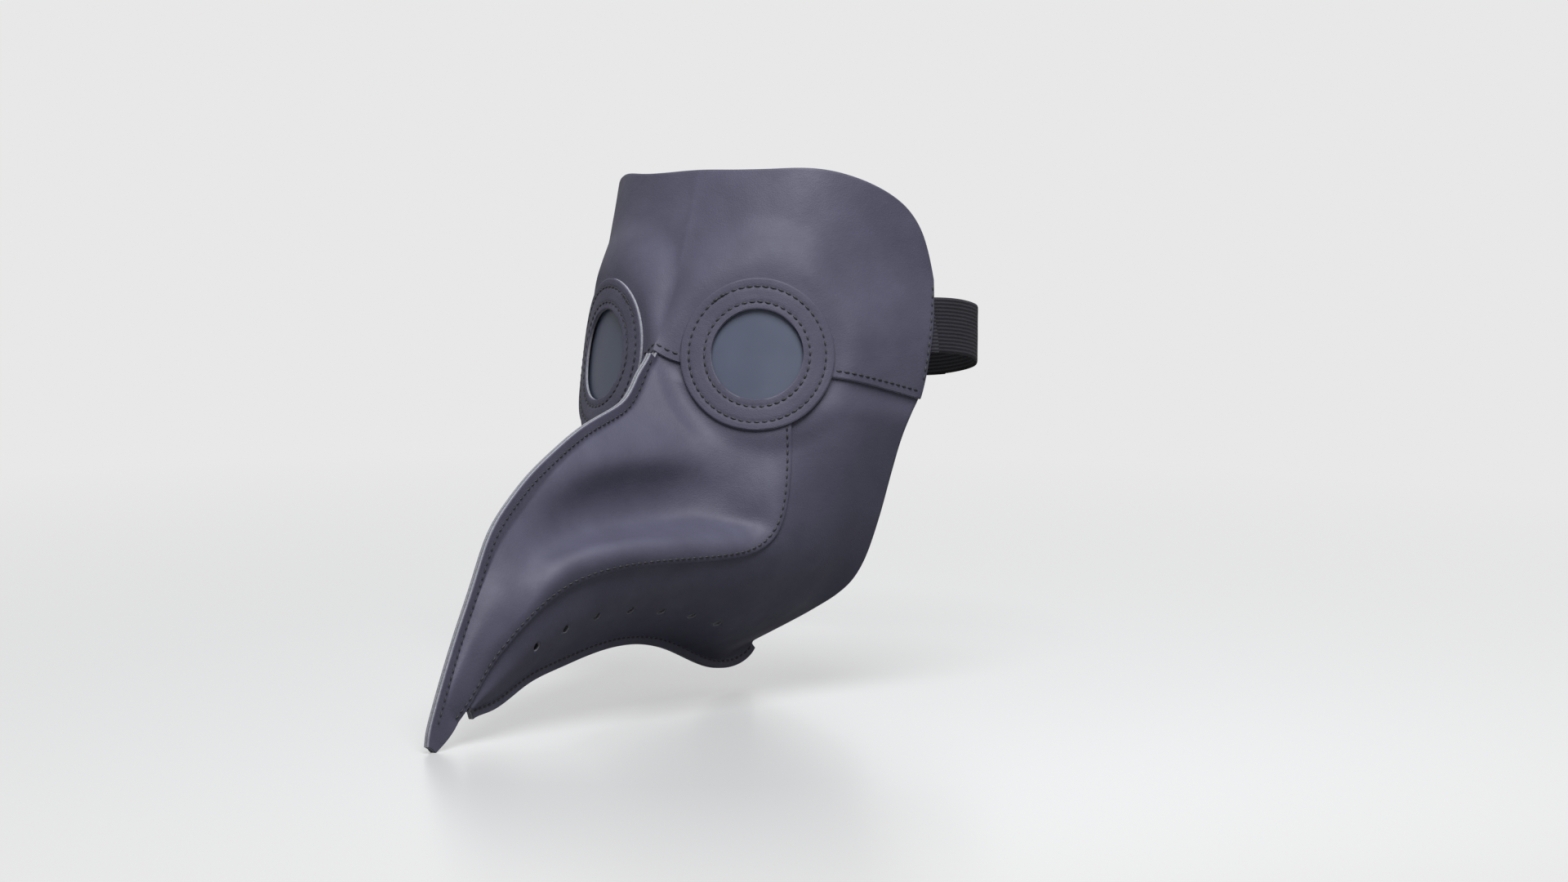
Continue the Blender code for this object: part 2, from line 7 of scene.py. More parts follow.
import bpy
import numpy as np
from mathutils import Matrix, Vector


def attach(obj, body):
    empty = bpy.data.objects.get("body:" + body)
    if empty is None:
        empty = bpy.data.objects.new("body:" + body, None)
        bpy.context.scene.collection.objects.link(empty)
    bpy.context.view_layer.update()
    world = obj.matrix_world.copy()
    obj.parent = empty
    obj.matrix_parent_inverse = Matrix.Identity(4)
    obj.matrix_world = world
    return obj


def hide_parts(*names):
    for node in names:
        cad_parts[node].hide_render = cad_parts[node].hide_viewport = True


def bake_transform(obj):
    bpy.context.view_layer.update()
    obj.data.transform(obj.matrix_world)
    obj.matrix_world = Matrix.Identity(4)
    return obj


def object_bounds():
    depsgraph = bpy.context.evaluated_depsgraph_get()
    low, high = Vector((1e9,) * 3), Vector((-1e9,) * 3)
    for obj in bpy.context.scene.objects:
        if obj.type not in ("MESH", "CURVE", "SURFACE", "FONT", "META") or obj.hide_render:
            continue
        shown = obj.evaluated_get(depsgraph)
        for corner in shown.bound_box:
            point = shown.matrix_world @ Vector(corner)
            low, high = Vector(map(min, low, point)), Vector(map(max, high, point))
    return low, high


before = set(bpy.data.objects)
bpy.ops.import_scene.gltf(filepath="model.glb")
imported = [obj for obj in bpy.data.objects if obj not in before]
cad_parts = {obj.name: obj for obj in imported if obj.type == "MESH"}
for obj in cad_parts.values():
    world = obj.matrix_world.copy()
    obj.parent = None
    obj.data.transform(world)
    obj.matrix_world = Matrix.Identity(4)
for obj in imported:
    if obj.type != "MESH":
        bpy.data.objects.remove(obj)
CAD_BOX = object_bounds()

MM = 0.001
SLOPE_STEP = 0.01
NEWTON_STEPS = 12
SHARP_ANGLE = math.radians(48.0)

# Leather shell, as in the CAD
LEATHER = 1.6
LAP_SINK = 1.85
HALF_GAP = 0.15
FLANGE_FACE = LEATHER + HALF_GAP
RIDGE_FLANGE = 5.5
BROW_FLANGE = 2.5
TIP_FLANGE = 4.0
KEEL_FLANGE = 4.0
EDGE_ROUND = 0.35

BROW_ROW = 3.0
RIDGE_START_ROW = 3.2
FULL_FLANGE_ROW = 4.3
TAPER_ROW = 15.0
CHIN_ROW = 7.0
CHEEK_END_ROW = 14.0
TIP_ROW = 16.0
LAP_COLUMN = 4.0
EDGE_COLUMN = 6.0
TUCK = 0.33

# Net units over which a tucked edge comes up from under its seam
SINK_START = 0.12
BROW_FADE = 0.8
LAP_FADE = 0.9

# Net units between a cut edge and the grid line beside it, which keeps its rounding narrow
RIM_LINE = 0.014
LAP_LINE = 0.02

# Passes that round the fold between a flange and its panel, and the grid lines they reach
RIDGE_PASSES = 5
KEEL_PASSES = 4
FOLD_REACH = 4

# Unevenness of the hide: height, size and phase of each layer
SWELLS = ((0.22, 16.0, 0.6), (0.08, 6.0, 1.9))

# The sewn mask's own lean: drop of the right brow; height, axis, length and phase of the beak's waves
BROW_DROP = 2.6
BEAK_WAVES = ((0.45, 2, 21.0, 0.0), (0.25, 1, 7.5, 0.8))

# Eye windows
EYE_CENTRE = np.array((50.5, 29.1, 0.0))
EYE_YAW = math.radians(31.0)
EYE_PITCH = math.radians(7.6)
EYE_BEND_RADIUS = 144.0
EYE_BEND_SKEW = 2.4e-5
EYE_FLAT_RADIUS = 43.0
EYE_BLEND_RADIUS = 56.0
EYE_BLEND_RISE = 22.0
EYE_HOLE_RADIUS = 33.0
EYE_HOLE_SNAP = 1.1
EYE_HOLE_DEPTH = 9.0
RING_RADIUS = 41.6
RING_OPENING = 24.7
RING_GAP = 0.15
RING_GRID = 0.62
RING_TURNS = 180
GROOVE_DEPTH = 0.26
GROOVE_BEAT = 0.12
GROOVE_WIDTH = 1.15
LENS_RADIUS = 31.5
LENS_FACE = -1.1
LENS_THICKNESS = 1.0
LENS_BEND_RADIUS = 31.3
LENS_TURNS = 96

VENT_RADIUS = 2.5
VENT_SIDES = 24
VENT_CUT = 6.0
VENT_FIRST_GUESS = (10.0, 5.0)
VENT_SPOTS = (
    (-126.0, -157.0), (-104.0, -147.5), (-81.0, -141.0), (-55.0, -138.0),
    (-30.0, -138.5), (-5.0, -141.0), (18.0, -145.0),
)

# Thread
STITCH_PITCH = 4.3
STITCH_LENGTH = 3.75
THREAD_RADIUS = 0.46
STITCH_SIDES = 8
STITCH_RINGS = 7
STITCH_LEAN = 0.16
STITCH_RISE = 0.62
STITCH_DIVE = 0.75
STITCH_END_SIZE = 0.45
BACK_TACK_RADIUS = 0.55
LAP_STITCH_ROWS = (3.9, 14.6)
RIM_STITCH_ROWS = (0.35, 2.62)
RIDGE_STITCH_ROWS = (3.35, 15.0)
KEEL_STITCH_ROWS = (7.05, 13.9)
RING_OUTER_STITCH = 37.0
RING_INNER_STITCH = 28.6
LAP_STITCH_INSET = 2.6
BROW_STITCH_INSET = 4.0
RIM_STITCH_INSET = 1.9
RIDGE_STITCH_LIFT = 0.7
KEEL_STITCH_LIFT = 0.2

# Elastic strap
STRAP_THICKNESS = 1.2
STRAP_WIDTH = 30.0
STRAP_HALF_SPAN = 97.4
STRAP_DEPTH = 115.6
STRAP_START_Y = 126.8
STRAP_TOP = 31.0
STRAP_DROP = 12.0
STRAP_TAB_LENGTH = 16.4
HINGE_Y = 126.0
TAB_HINGE_GAP = 1.2
TAB_MARGIN = 0.5
TAB_RIM_MARGIN = 1.0
TAB_FIRST_GUESS = (1.6, 5.7)
ROOT_OVERLAP = 2.0
ROOT_THINNING = 0.3
ROOT_HEIGHTS = 16
ROOT_LENGTHS = 14
ROOT_BEND_STEPS = 9
ROOT_SIDE_SHARE = 0.6
BAND_ROUNDING = 0.35
PATCH_ROUNDING = 0.3
PATCH_LINES = 40
BAND_RIPPLE = 0.25
BAND_END_OVERLAP = 0.2
LAYER_START_ANGLE = 112.0
LAYER_END_ANGLE = 172.0
CLOTH_SCALE = 10.0
LEFT_END_ANGLE = 104.0
FLAP_FOLD_ANGLE = 103.25
FLAP_END_ANGLE = 76.0
PATCH_FIRST_ANGLE = 78.0
PATCH_LAST_ANGLE = 101.0
PATCH_THICKNESS = 1.0
PATCH_MARGIN = 1.5
LAYER_GAP = 0.3
LOOP_OFFSET = STRAP_THICKNESS + LAYER_GAP
HOOK_OFFSET = LOOP_OFFSET + PATCH_THICKNESS + LAYER_GAP
OUTER_OFFSET = HOOK_OFFSET + PATCH_THICKNESS + LAYER_GAP

# Studio
CAMERA_AZIMUTH = math.radians(35.0)
CAMERA_ELEVATION = 0.0
CAMERA_DISTANCE = 21000.0
FRAME_WIDTH = 844.8
VIEW_CENTRE_ACROSS = 72.6
VIEW_CENTRE_UP = -46.6
SENSOR_WIDTH = 36.0
BACKDROP = 0.805
AMBIENT = 0.18
FLOOR_TILT = math.radians(8.6)
FLOOR_SIZE = 30000.0
FLOOR_ALBEDO = 0.42
FLOOR_BOUNCE = 0.2
FLOOR_GLOW = 0.44

# Lamps: direction in degrees, distance and size in metres, power in watts
LAMPS = (
    ("key", 44.0, 56.0, 2.2, 1.5, 86.0),
    ("left_fill", -55.0, 40.0, 2.4, 1.2, 3.0),
    ("rear_fill", 205.0, 38.0, 2.4, 1.6, 16.0),
)

NET = np.array((
    ((0, 46, 100), (23, 48.6, 100), (45, 56, 100.5), (66, 70, 100),
     (84.5, 92, 91.3), (95, 115.8, 72.5), (99.5, 126, 40)),
    ((0, 27, 50), (19, 30, 50), (39, 36, 50), (59, 48, 50),
     (76.5, 67, 48), (91, 95, 42), (101.5, 123.5, 28)),
    ((0, 14.5, 22), (16.5, 12.5, 20), (32.5, 21.8, 19.5), (50, 32, 19.5),
     (68.5, 43.2, 19), (88.5, 66, 13), (104, 117, 4)),
    ((0, 3.5, 2.5), (13.2, 9.6, -4), (32, 18.2, -6), (50.5, 28.4, -8),
     (68, 39.2, -10), (88, 60, -13.5), (102.5, 109, -24)),
    ((0, -6, -12), (13.5, 5, -17), (31, 16, -22), (49.5, 26.5, -27),
     (67.5, 37.5, -32), (86.5, 60, -38), (97, 99.3, -45)),
    ((0, -18.5, -27), (12, -6, -31), (28, 8.5, -37), (49, 23, -46),
     (68.5, 36, -57), (81, 63, -73), (79, 95, -103)),
    ((0, -36, -35.5), (12, -20.5, -41), (27.5, -1.5, -50), (47.5, 14.5, -66),
     (68, 28, -90), (64, 63, -117.5), (50.5, 94, -133.5)),
    ((0, -58, -43), (10, -40.5, -49), (22.5, -19, -58), (40, 1.5, -76),
     (62, 13, -106), (43, 54, -139), (0, 94, -156)),
    ((0, -81.5, -53.9), (8.5, -63, -58.5), (16.5, -41, -67), (33, -24, -84),
     (54, -15, -111), (38, 23, -142), (0, 60, -165)),
    ((0, -106, -67.6), (7, -86, -72), (15, -67, -80), (32, -58, -94),
     (45, -52, -113), (31, -18, -139), (0, 15, -154.5)),
    ((0, -128.6, -83.4), (6.5, -110, -86.5), (16, -95, -93), (30, -91, -103),
     (36, -85, -117), (25, -62, -139), (0, -35, -153.5)),
    ((0, -145.7, -100.4), (7, -132.5, -102.5), (15.5, -122.5, -107), (25, -119.5, -115),
     (27, -115, -127), (19, -97, -147), (0, -80, -163)),
    ((0, -158.6, -123.7), (8, -153, -125), (14.5, -146.5, -129), (18.5, -142.5, -136),
     (18.5, -140, -145), (13.5, -128, -161.5), (0, -115, -173)),
    ((0, -170.4, -144.7), (6, -168, -146), (10, -164, -150), (12, -161.5, -157),
     (11, -160, -167), (8.5, -153, -178.5), (0, -146, -186.3)),
    ((0, -182.6, -167.6), (3.6, -182, -170), (5.2, -179, -175), (5.6, -176, -181),
     (5, -173, -188), (4, -170, -190.5), (0, -167, -192)),
    ((0, -197.8, -199), (0, -196.5, -200), (0, -194, -201), (0, -190, -202),
     (0, -185.5, -203), (0, -184, -204), (0, -183, -205)),
    ((0, -203, -211.5), (0, -202.5, -212), (0, -202, -212.5), (0, -201.3, -213),
     (0, -200.5, -213.5), (0, -200, -214), (0, -199.5, -214.5)),
), dtype=float)


def direction(turn, lift):
    """Unit vector towards the front, turned to the mask's left and lifted."""
    flat = math.cos(lift)
    return np.array((math.sin(turn) * flat, -math.cos(turn) * flat, math.sin(lift)))


def sideways(turn):
    return np.array((math.cos(turn), math.sin(turn), 0.0))


EYE_NORMAL = direction(EYE_YAW, EYE_PITCH)
EYE_ACROSS = sideways(EYE_YAW)
EYE_UP = np.cross(EYE_NORMAL, EYE_ACROSS)


# ---------------------------------------------------------------- surface

def smooth(value, low, high):
    t = np.clip((value - low) / (high - low), 0.0, 1.0)
    return t * t * (3.0 - 2.0 * t)


def spline_table(count):
    """Second derivatives of a natural cubic spline through `count` values, as weights."""
    matrix = 4.0 * np.eye(count) + np.eye(count, k=1) + np.eye(count, k=-1)
    matrix[0] = np.eye(count)[0]
    matrix[-1] = np.eye(count)[-1]
    second = np.zeros((count, count))
    for i in range(1, count - 1):
        second[i, i - 1:i + 2] = (6.0, -12.0, 6.0)
    return np.linalg.solve(matrix, second)


ROW_TABLE = spline_table(NET.shape[0])
COLUMN_TABLE = spline_table(NET.shape[1])


def spline_weights(table, params):
    count = len(table)
    index = np.clip(params.astype(int), 0, count - 2)
    t = (params - index)[:, None]
    unit = np.eye(count)
    weights = (1.0 - t) * unit[index] + t * unit[index + 1]
    weights += ((1.0 - t) ** 3 - (1.0 - t)) / 6.0 * table[index]
    weights += (t ** 3 - t) / 6.0 * table[index + 1]
    return weights


def eye_bend(across):
    return -across ** 2 / (2.0 * EYE_BEND_RADIUS) - EYE_BEND_SKEW * across ** 3


def eye_coordinates(points):
    offset = points - EYE_CENTRE
    return offset @ EYE_ACROSS, offset @ EYE_UP, offset @ EYE_NORMAL


def base_points(rows, columns):
    """Points of the left half for matching arrays of net rows and columns."""
    rows, columns = np.broadcast_arrays(np.asarray(rows, float), np.asarray(columns, float))
    row_weights = spline_weights(ROW_TABLE, rows.ravel())
    column_weights = spline_weights(COLUMN_TABLE, columns.ravel())
    points = np.einsum("ni,nj,ijk->nk", row_weights, column_weights, NET)
    across, up, depth = eye_coordinates(points)
    reach = np.hypot(across, up)
    above = np.maximum(up, 0.0) / np.maximum(reach, 1.0)
    weight = 1.0 - smooth(reach, EYE_FLAT_RADIUS, EYE_BLEND_RADIUS + EYE_BLEND_RISE * above ** 2)
    points = points + (weight * (eye_bend(across) - depth))[:, None] * EYE_NORMAL
    return points.reshape(rows.shape + (3,))


def unit_rows(vectors):
    return vectors / np.maximum(np.linalg.norm(vectors, axis=-1, keepdims=True), 1e-9)


def base_normals(rows, columns):
    rows, columns = np.broadcast_arrays(np.asarray(rows, float), np.asarray(columns, float))
    down = (base_points(np.minimum(rows + SLOPE_STEP, TIP_ROW), columns)
            - base_points(np.maximum(rows - SLOPE_STEP, 0.0), columns))
    out = (base_points(rows, np.minimum(columns + SLOPE_STEP, EDGE_COLUMN))
           - base_points(rows, np.maximum(columns - SLOPE_STEP, 0.0)))
    return unit_rows(np.cross(down, out))


def net_slopes(rows, columns):
    """Points of the net, and how they move per row and per column."""
    here = base_points(rows, columns)
    down = (base_points(rows + SLOPE_STEP, columns) - here) / SLOPE_STEP
    out = (base_points(rows, columns + SLOPE_STEP) - here) / SLOPE_STEP
    return here, down, out


def net_spots(ys, zs, first_guess):
    """Net rows and columns of the points with the given Y and Z, by Newton steps."""
    rows = np.full(ys.shape, first_guess[0])
    columns = np.full(ys.shape, first_guess[1])
    for _ in range(NEWTON_STEPS):
        here, down, out = net_slopes(rows, columns)
        miss_y = ys - here[..., 1]
        miss_z = zs - here[..., 2]
        area = down[..., 1] * out[..., 2] - down[..., 2] * out[..., 1]
        rows = rows + (miss_y * out[..., 2] - miss_z * out[..., 1]) / area
        columns = columns + (down[..., 1] * miss_z - down[..., 2] * miss_y) / area
    return rows, columns


def distance_to_path(points, path):
    """Distance from each point to a polyline, and how far along it the nearest spot is (0..1)."""
    best = np.full(points.shape[:-1], 1e9)
    along = np.zeros(points.shape[:-1])
    pieces = len(path) - 1
    for k in range(pieces):
        start = path[k]
        run = path[k + 1] - start
        t = np.clip((points - start) @ run / (run @ run), 0.0, 1.0)
        gap = np.linalg.norm(points - start - t[..., None] * run, axis=-1)
        closer = gap < best
        best = np.where(closer, gap, best)
        along = np.where(closer, (k + t) / pieces, along)
    return best, along


def rolled_fold(points, path, heights, width):
    """Round fold along a polyline: small bells of the given heights, laid side by side along it."""
    places = np.arange(len(path))
    beads = steps(0.0, len(path) - 1.0, FOLD_BEADS)
    centres = np.stack([np.interp(beads, places, path[:, k]) for k in range(3)], axis=-1)
    spacing = np.linalg.norm(np.gradient(centres, axis=0), axis=1)
    lifts = np.interp(beads, places, heights) * spacing / (math.sqrt(math.pi) * width)
    height = np.zeros(points.shape[:-1])
    for centre, lift in zip(centres, lifts):
        height = height + lift * np.exp(-((points - centre) ** 2).sum(axis=-1) / width ** 2)
    return height


# Folds and dents of the leather: net spots along each with its height there, its half width,
# and how sharp it is: 0 for a round fold, 1 for a crease
FOLDS = (
    (((5.6, 2.6, 0.2), (6.4, 2.4, 1.2), (7.1, 2.0, 2.4), (8.0, 1.4, 3.0), (9.0, 1.0, 2.4), (9.8, 0.9, 1.2),
      (10.6, 0.9, 0.2)), 13.0, 0.0),
    (((6.2, 2.6, -0.2), (6.9, 2.8, -5.0), (7.6, 2.75, -10.0), (8.3, 2.55, -11.0), (9.1, 2.2, -9.5),
      (9.8, 1.9, -7.0), (10.6, 1.8, -3.0), (11.4, 1.8, -0.5)), 20.0, 0.0),
    (((6.1, 3.9, -0.5), (6.35, 3.75, -4.0), (6.6, 3.6, -7.0), (6.95, 3.36, -7.0), (7.4, 3.02, -5.5),
      (8.2, 2.72, -4.0), (9.0, 2.3, -3.5), (9.6, 2.05, -3.5), (10.2, 1.85, -3.0), (11.0, 1.8, -2.0),
      (11.6, 1.7, -0.5)), 11.0, 0.6),
    (((6.6, 3.95, 0.5), (7.4, 3.85, 3.5), (8.2, 3.7, 5.0), (9.5, 3.4, 4.5), (10.25, 3.1, 4.0),
      (10.9, 2.8, 2.5), (11.6, 2.8, 0.5)), 9.0, 0.0),
    (((5.2, 3.9, 0.3), (5.7, 3.9, 1.8), (6.1, 4.0, 1.6), (6.6, 4.3, 0.4)), 12.0, 0.0),
    (((0.2, 0.0, -0.8), (1.2, 0.0, -1.6), (2.2, 0.0, -1.0)), 9.0, 0.0),
    (((0.6, 3.2, 0.6), (1.6, 3.9, 1.2)), 10.0, 0.0),
    (((4.2, 5.0, 0.8), (5.2, 5.2, 1.2), (6.2, 5.2, 1.0)), 11.0, 0.0),
)
CREASE_ROUND = 2.4
FOLD_BEADS = 60
FOLD_PATHS = []
for spots, width, crease in FOLDS:
    row_spots, column_spots, heights = np.array(spots).T
    FOLD_PATHS.append((base_points(row_spots, column_spots), heights, width, crease))


def swell(points, size, phase):
    """Gentle repeatable unevenness of hide, between -1 and 1."""
    x, y, z = (points[..., k] / size for k in range(3))
    wave = np.sin(x * 1.9 + 2.3 * np.sin(y * 0.7 + phase) + phase)
    wave += np.sin(y * 2.3 + 1.7 * np.sin(z * 0.9 + 2.0 * phase) - phase)
    wave += np.sin(z * 2.1 + 2.1 * np.sin(x * 0.8 - phase) + 3.0 * phase)
    return wave / 3.0


def relief(points):
    """Height of folds, dents and unevenness over the plain surface."""
    across, up, _ = eye_coordinates(points)
    clear = smooth(np.hypot(across, up), EYE_FLAT_RADIUS, EYE_FLAT_RADIUS + 10.0)
    height = sum(rise * swell(points, size, phase) for rise, size, phase in SWELLS)
    for path, heights, width, crease in FOLD_PATHS:
        height = height + rolled_fold(points, path, heights, width) * (1.0 - crease)
        if crease:
            gap, along = distance_to_path(points, path)
            lift = np.interp(along, np.linspace(0.0, 1.0, len(heights)), heights)
            reach = np.hypot(gap, CREASE_ROUND) - CREASE_ROUND
            height = height + lift * crease * np.exp(-reach / width)
    return height * clear


def skin(rows, columns, sink=0.0):
    """Outer face of the leather, with its relief, `sink` below the plain surface."""
    points = base_points(rows, columns)
    normals = base_normals(rows, columns)
    points = points + normals * (relief(points) - sink)[..., None]
    points[..., 0] = np.maximum(points[..., 0], FLANGE_FACE)
    return points


def brow_sink(rows):
    return LAP_SINK * (1.0 - smooth(np.asarray(rows), BROW_ROW + SINK_START, BROW_ROW + BROW_FADE))


def lap_sink(columns):
    return LAP_SINK * (1.0 - smooth(np.asarray(columns), LAP_COLUMN + SINK_START, LAP_COLUMN + LAP_FADE))


def seam_step(rows, columns, row_step, column_step):
    """Millimetres of surface for one net unit, at matching rows and columns."""
    here = base_points(rows, columns)
    there = base_points(np.asarray(rows) + row_step, np.asarray(columns) + column_step)
    return np.linalg.norm(there - here, axis=-1) / abs(row_step + column_step)


# ---------------------------------------------------------------- meshes

def settle(points):
    """Slight lean and waviness of the whole sewn mask, so that its halves aren't exact mirrors."""
    moved = points.copy()
    right_brow = smooth(-points[..., 0], -10.0, 50.0) * smooth(points[..., 2], 50.0, 100.0)
    moved[..., 2] -= BROW_DROP * right_brow
    beak = smooth(-points[..., 1], 0.0, 200.0)
    for rise, axis, length, phase in BEAK_WAVES:
        moved[..., 0] += rise * beak * np.sin(points[..., axis] / length + phase)
    return moved


def mirrored(points, faces):
    return points * np.array((-1.0, 1.0, 1.0)), [tuple(reversed(face)) for face in faces]


def link_mesh(name, points, faces, materials, kinds=None, uvs=None):
    mesh = bpy.data.meshes.new(name)
    mesh.from_pydata((points * MM).tolist(), [], faces)
    for material in materials:
        mesh.materials.append(material)
    if kinds is not None:
        mesh.polygons.foreach_set("material_index", kinds)
    if uvs is not None:
        layer = mesh.uv_layers.new(name="cloth")
        loops = np.zeros(len(mesh.loops), dtype=np.int32)
        mesh.loops.foreach_get("vertex_index", loops)
        layer.data.foreach_set("uv", uvs[loops].ravel())
    mesh.shade_smooth()
    mesh.set_sharp_from_angle(angle=SHARP_ANGLE)
    mesh.update()
    item = bpy.data.objects.new(name, mesh)
    bpy.context.scene.collection.objects.link(item)
    return item


def shell(outer, inner, cells):
    """Closed body between two grids; kinds are 0 outside, 1 inside, 2 cut edge."""
    count = outer.shape[0] * outer.shape[1]
    width = outer.shape[1]
    faces = []
    kinds = []
    edges = {}
    for i, j in zip(*np.nonzero(cells)):
        a = int(i) * width + int(j)
        quad = (a, a + width, a + width + 1, a + 1)
        faces.append(quad)
        faces.append(tuple(k + count for k in reversed(quad)))
        kinds += [0, 1]
        for first, second in zip(quad, quad[1:] + quad[:1]):
            if (second, first) in edges:
                del edges[(second, first)]
            else:
                edges[(first, second)] = True
    for first, second in edges:
        faces.append((second, first, first + count, second + count))
        kinds.append(2)
    points = np.concatenate((outer.reshape(-1, 3), inner.reshape(-1, 3)))
    used = sorted({k for face in faces for k in face})
    renumber = {old: new for new, old in enumerate(used)}
    return points[used], [tuple(renumber[k] for k in face) for face in faces], kinds


def grid_normals(grid):
    down = np.gradient(grid, axis=0)
    out = np.gradient(grid, axis=1)
    return unit_rows(np.cross(down, out))


def thinned(outer):
    inner = outer - grid_normals(outer) * LEATHER
    inner[..., 0] = np.maximum(inner[..., 0], HALF_GAP)
    return inner


def drop_edge(outer, normals, lines):
    """Round a cut edge over by lowering the last grid line."""
    for line in lines:
        outer[line] -= normals[line] * EDGE_ROUND
    return outer


def open_eye(points, cells):
    """Leave out the cells inside the eye hole and pull the nearest points onto its circle."""
    for side in (1.0, -1.0):
        flipped = points * np.array((side, 1.0, 1.0))
        across, up, depth = eye_coordinates(flipped)
        radius = np.hypot(across, up)
        level = np.abs(depth) < EYE_HOLE_DEPTH
        near = level & (np.abs(radius - EYE_HOLE_RADIUS) < EYE_HOLE_SNAP)
        scale = np.where(near, EYE_HOLE_RADIUS / np.maximum(radius, 1e-6), 1.0)
        shift = (across * (scale - 1.0))[..., None] * EYE_ACROSS + (up * (scale - 1.0))[..., None] * EYE_UP
        points += shift * np.array((side, 1.0, 1.0))
        inside = level & (radius * scale < EYE_HOLE_RADIUS + 0.01)
        hidden = inside[:-1, :-1] & inside[1:, :-1] & inside[:-1, 1:] & inside[1:, 1:]
        cells &= ~hidden
    return points, cells


def whole(grid):
    return np.ones((grid.shape[0] - 1, grid.shape[1] - 1), dtype=bool)


def steps(low, high, count):
    return np.linspace(low, high, count)


def ordered(*parts):
    return np.unique(np.round(np.concatenate([np.atleast_1d(part) for part in parts]), 6))


def ridge_width(rows):
    width = BROW_FLANGE + (RIDGE_FLANGE - BROW_FLANGE) * smooth(rows, RIDGE_START_ROW, FULL_FLANGE_ROW)
    return width - (RIDGE_FLANGE - TIP_FLANGE) * smooth(rows, TAPER_ROW, TIP_ROW)


def turned_out(rows, column, sign):
    """Root line of a turned-out seam in the centre plane, and its outward direction."""
    rows = np.asarray(rows, float)
    root = base_points(rows, np.full(len(rows), column))
    step = 0.05
    before = base_points(np.maximum(rows - step, 0.0), np.full(len(rows), column))
    after = base_points(np.minimum(rows + step, TIP_ROW), np.full(len(rows), column))
    along = after - before
    out = np.stack((np.zeros(len(rows)), along[:, 2], -along[:, 1]), axis=1) * sign
    root[:, 0] = FLANGE_FACE
    return root, unit_rows(out)


def soften_fold(grid, rows, centre, reach, passes):
    """Round the fold between flange and body by averaging the grid lines around it."""
    for _ in range(passes):
        copy = grid.copy()
        for j in range(centre - reach, centre + reach + 1):
            grid[rows, j] = 0.25 * copy[rows, j - 1] + 0.5 * copy[rows, j] + 0.25 * copy[rows, j + 1]
    return grid


def forehead_grid():
    rows = ordered(steps(0.0, 0.1, 5), 0.008, steps(0.1, BROW_ROW, 62), BROW_ROW - RIM_LINE)
    half = ordered(steps(0.0, EDGE_COLUMN, 79), EDGE_COLUMN - RIM_LINE)
    row_grid, column_grid = np.meshgrid(rows, half, indexing="ij")
    outer = base_points(row_grid, column_grid)
    normals = base_normals(row_grid, column_grid)
    outer += normals * relief(outer)[..., None]
    flip = np.array((-1.0, 1.0, 1.0))
    outer = np.concatenate((outer[:, :0:-1] * flip, outer), axis=1)
    normals = grid_normals(outer)
    inner = outer - normals * LEATHER
    lines = (np.s_[0], np.s_[-1], np.s_[:, 0], np.s_[:, -1])
    outer = drop_edge(outer, normals, lines)
    return outer, inner


def beak_grid():
    rows = ordered(BROW_ROW - TUCK, BROW_ROW - 0.15, BROW_ROW, RIDGE_START_ROW,
                   steps(RIDGE_START_ROW, TIP_ROW, 180), TIP_ROW - LAP_LINE)
    columns = ordered(steps(0.0, 0.24, 6), steps(0.24, LAP_COLUMN, 58), LAP_COLUMN - LAP_LINE)
    row_grid, column_grid = np.meshgrid(rows, columns, indexing="ij")
    outer = skin(row_grid, column_grid, brow_sink(row_grid))
    root, out = turned_out(rows, 0.0, 1.0)
    shares = np.array((1.0, 0.94, 0.85, 0.72, 0.58, 0.44, 0.3, 0.16))
    widths = ridge_width(rows)
    flange = root[:, None] + out[:, None] * (widths[:, None] * shares)[..., None]
    outer = np.concatenate((flange, outer), axis=1)
    first = int(np.searchsorted(rows, RIDGE_START_ROW))
    outer = soften_fold(outer, slice(first, None), len(shares), FOLD_REACH, RIDGE_PASSES)
    normals = grid_normals(outer)
    inner = thinned(outer)
    outer = drop_edge(outer, normals, (np.s_[first:, 0], np.s_[:, -1], np.s_[-1]))
    cells = whole(outer)
    cells[:first, :len(shares) + 1] = False
    return outer, inner, cells


def cheek_grid():
    rows = ordered(BROW_ROW - TUCK, BROW_ROW - 0.15, BROW_ROW, steps(3.1, CHIN_ROW, 70),
                   steps(CHIN_ROW, CHEEK_END_ROW, 110), CHEEK_END_ROW - LAP_LINE)
    columns = ordered(steps(LAP_COLUMN - TUCK, 5.75, 38), steps(5.75, EDGE_COLUMN, 6), EDGE_COLUMN - RIM_LINE)
    row_grid, column_grid = np.meshgrid(rows, columns, indexing="ij")
    outer = skin(row_grid, column_grid, brow_sink(row_grid) + lap_sink(column_grid))
    chin = int(np.searchsorted(rows, CHIN_ROW))
    root, out = turned_out(rows, EDGE_COLUMN, -1.0)
    shares = np.array((0.18, 0.36, 0.54, 0.7, 0.84, 0.94, 1.0))
    flange = root[:, None] + out[:, None] * (KEEL_FLANGE * shares)[None, :, None]
    step = (outer[:chin, -1] - outer[:chin, -3])[:, None]
    flange[:chin] = outer[:chin, -1][:, None] + step * shares[None, :, None]
    body = outer.shape[1]
    outer = np.concatenate((outer, flange), axis=1)
    outer = soften_fold(outer, slice(chin, None), body - 1, FOLD_REACH, KEEL_PASSES)
    normals = grid_normals(outer)
    inner = thinned(outer)
    lines = (np.s_[chin:, -1], np.s_[:chin, body - 1], np.s_[-1])
    outer = drop_edge(outer, normals, lines)
    cells = whole(outer)
    cells[:chin, body - 1:] = False
    return outer, inner, cells


def vent_frames():
    """Centre and outward direction of each hole on the left cheek."""
    ys, zs = np.array(VENT_SPOTS).T
    here, down, out = net_slopes(*net_spots(ys, zs, VENT_FIRST_GUESS))
    return zip(here, unit_rows(np.cross(down, out)))


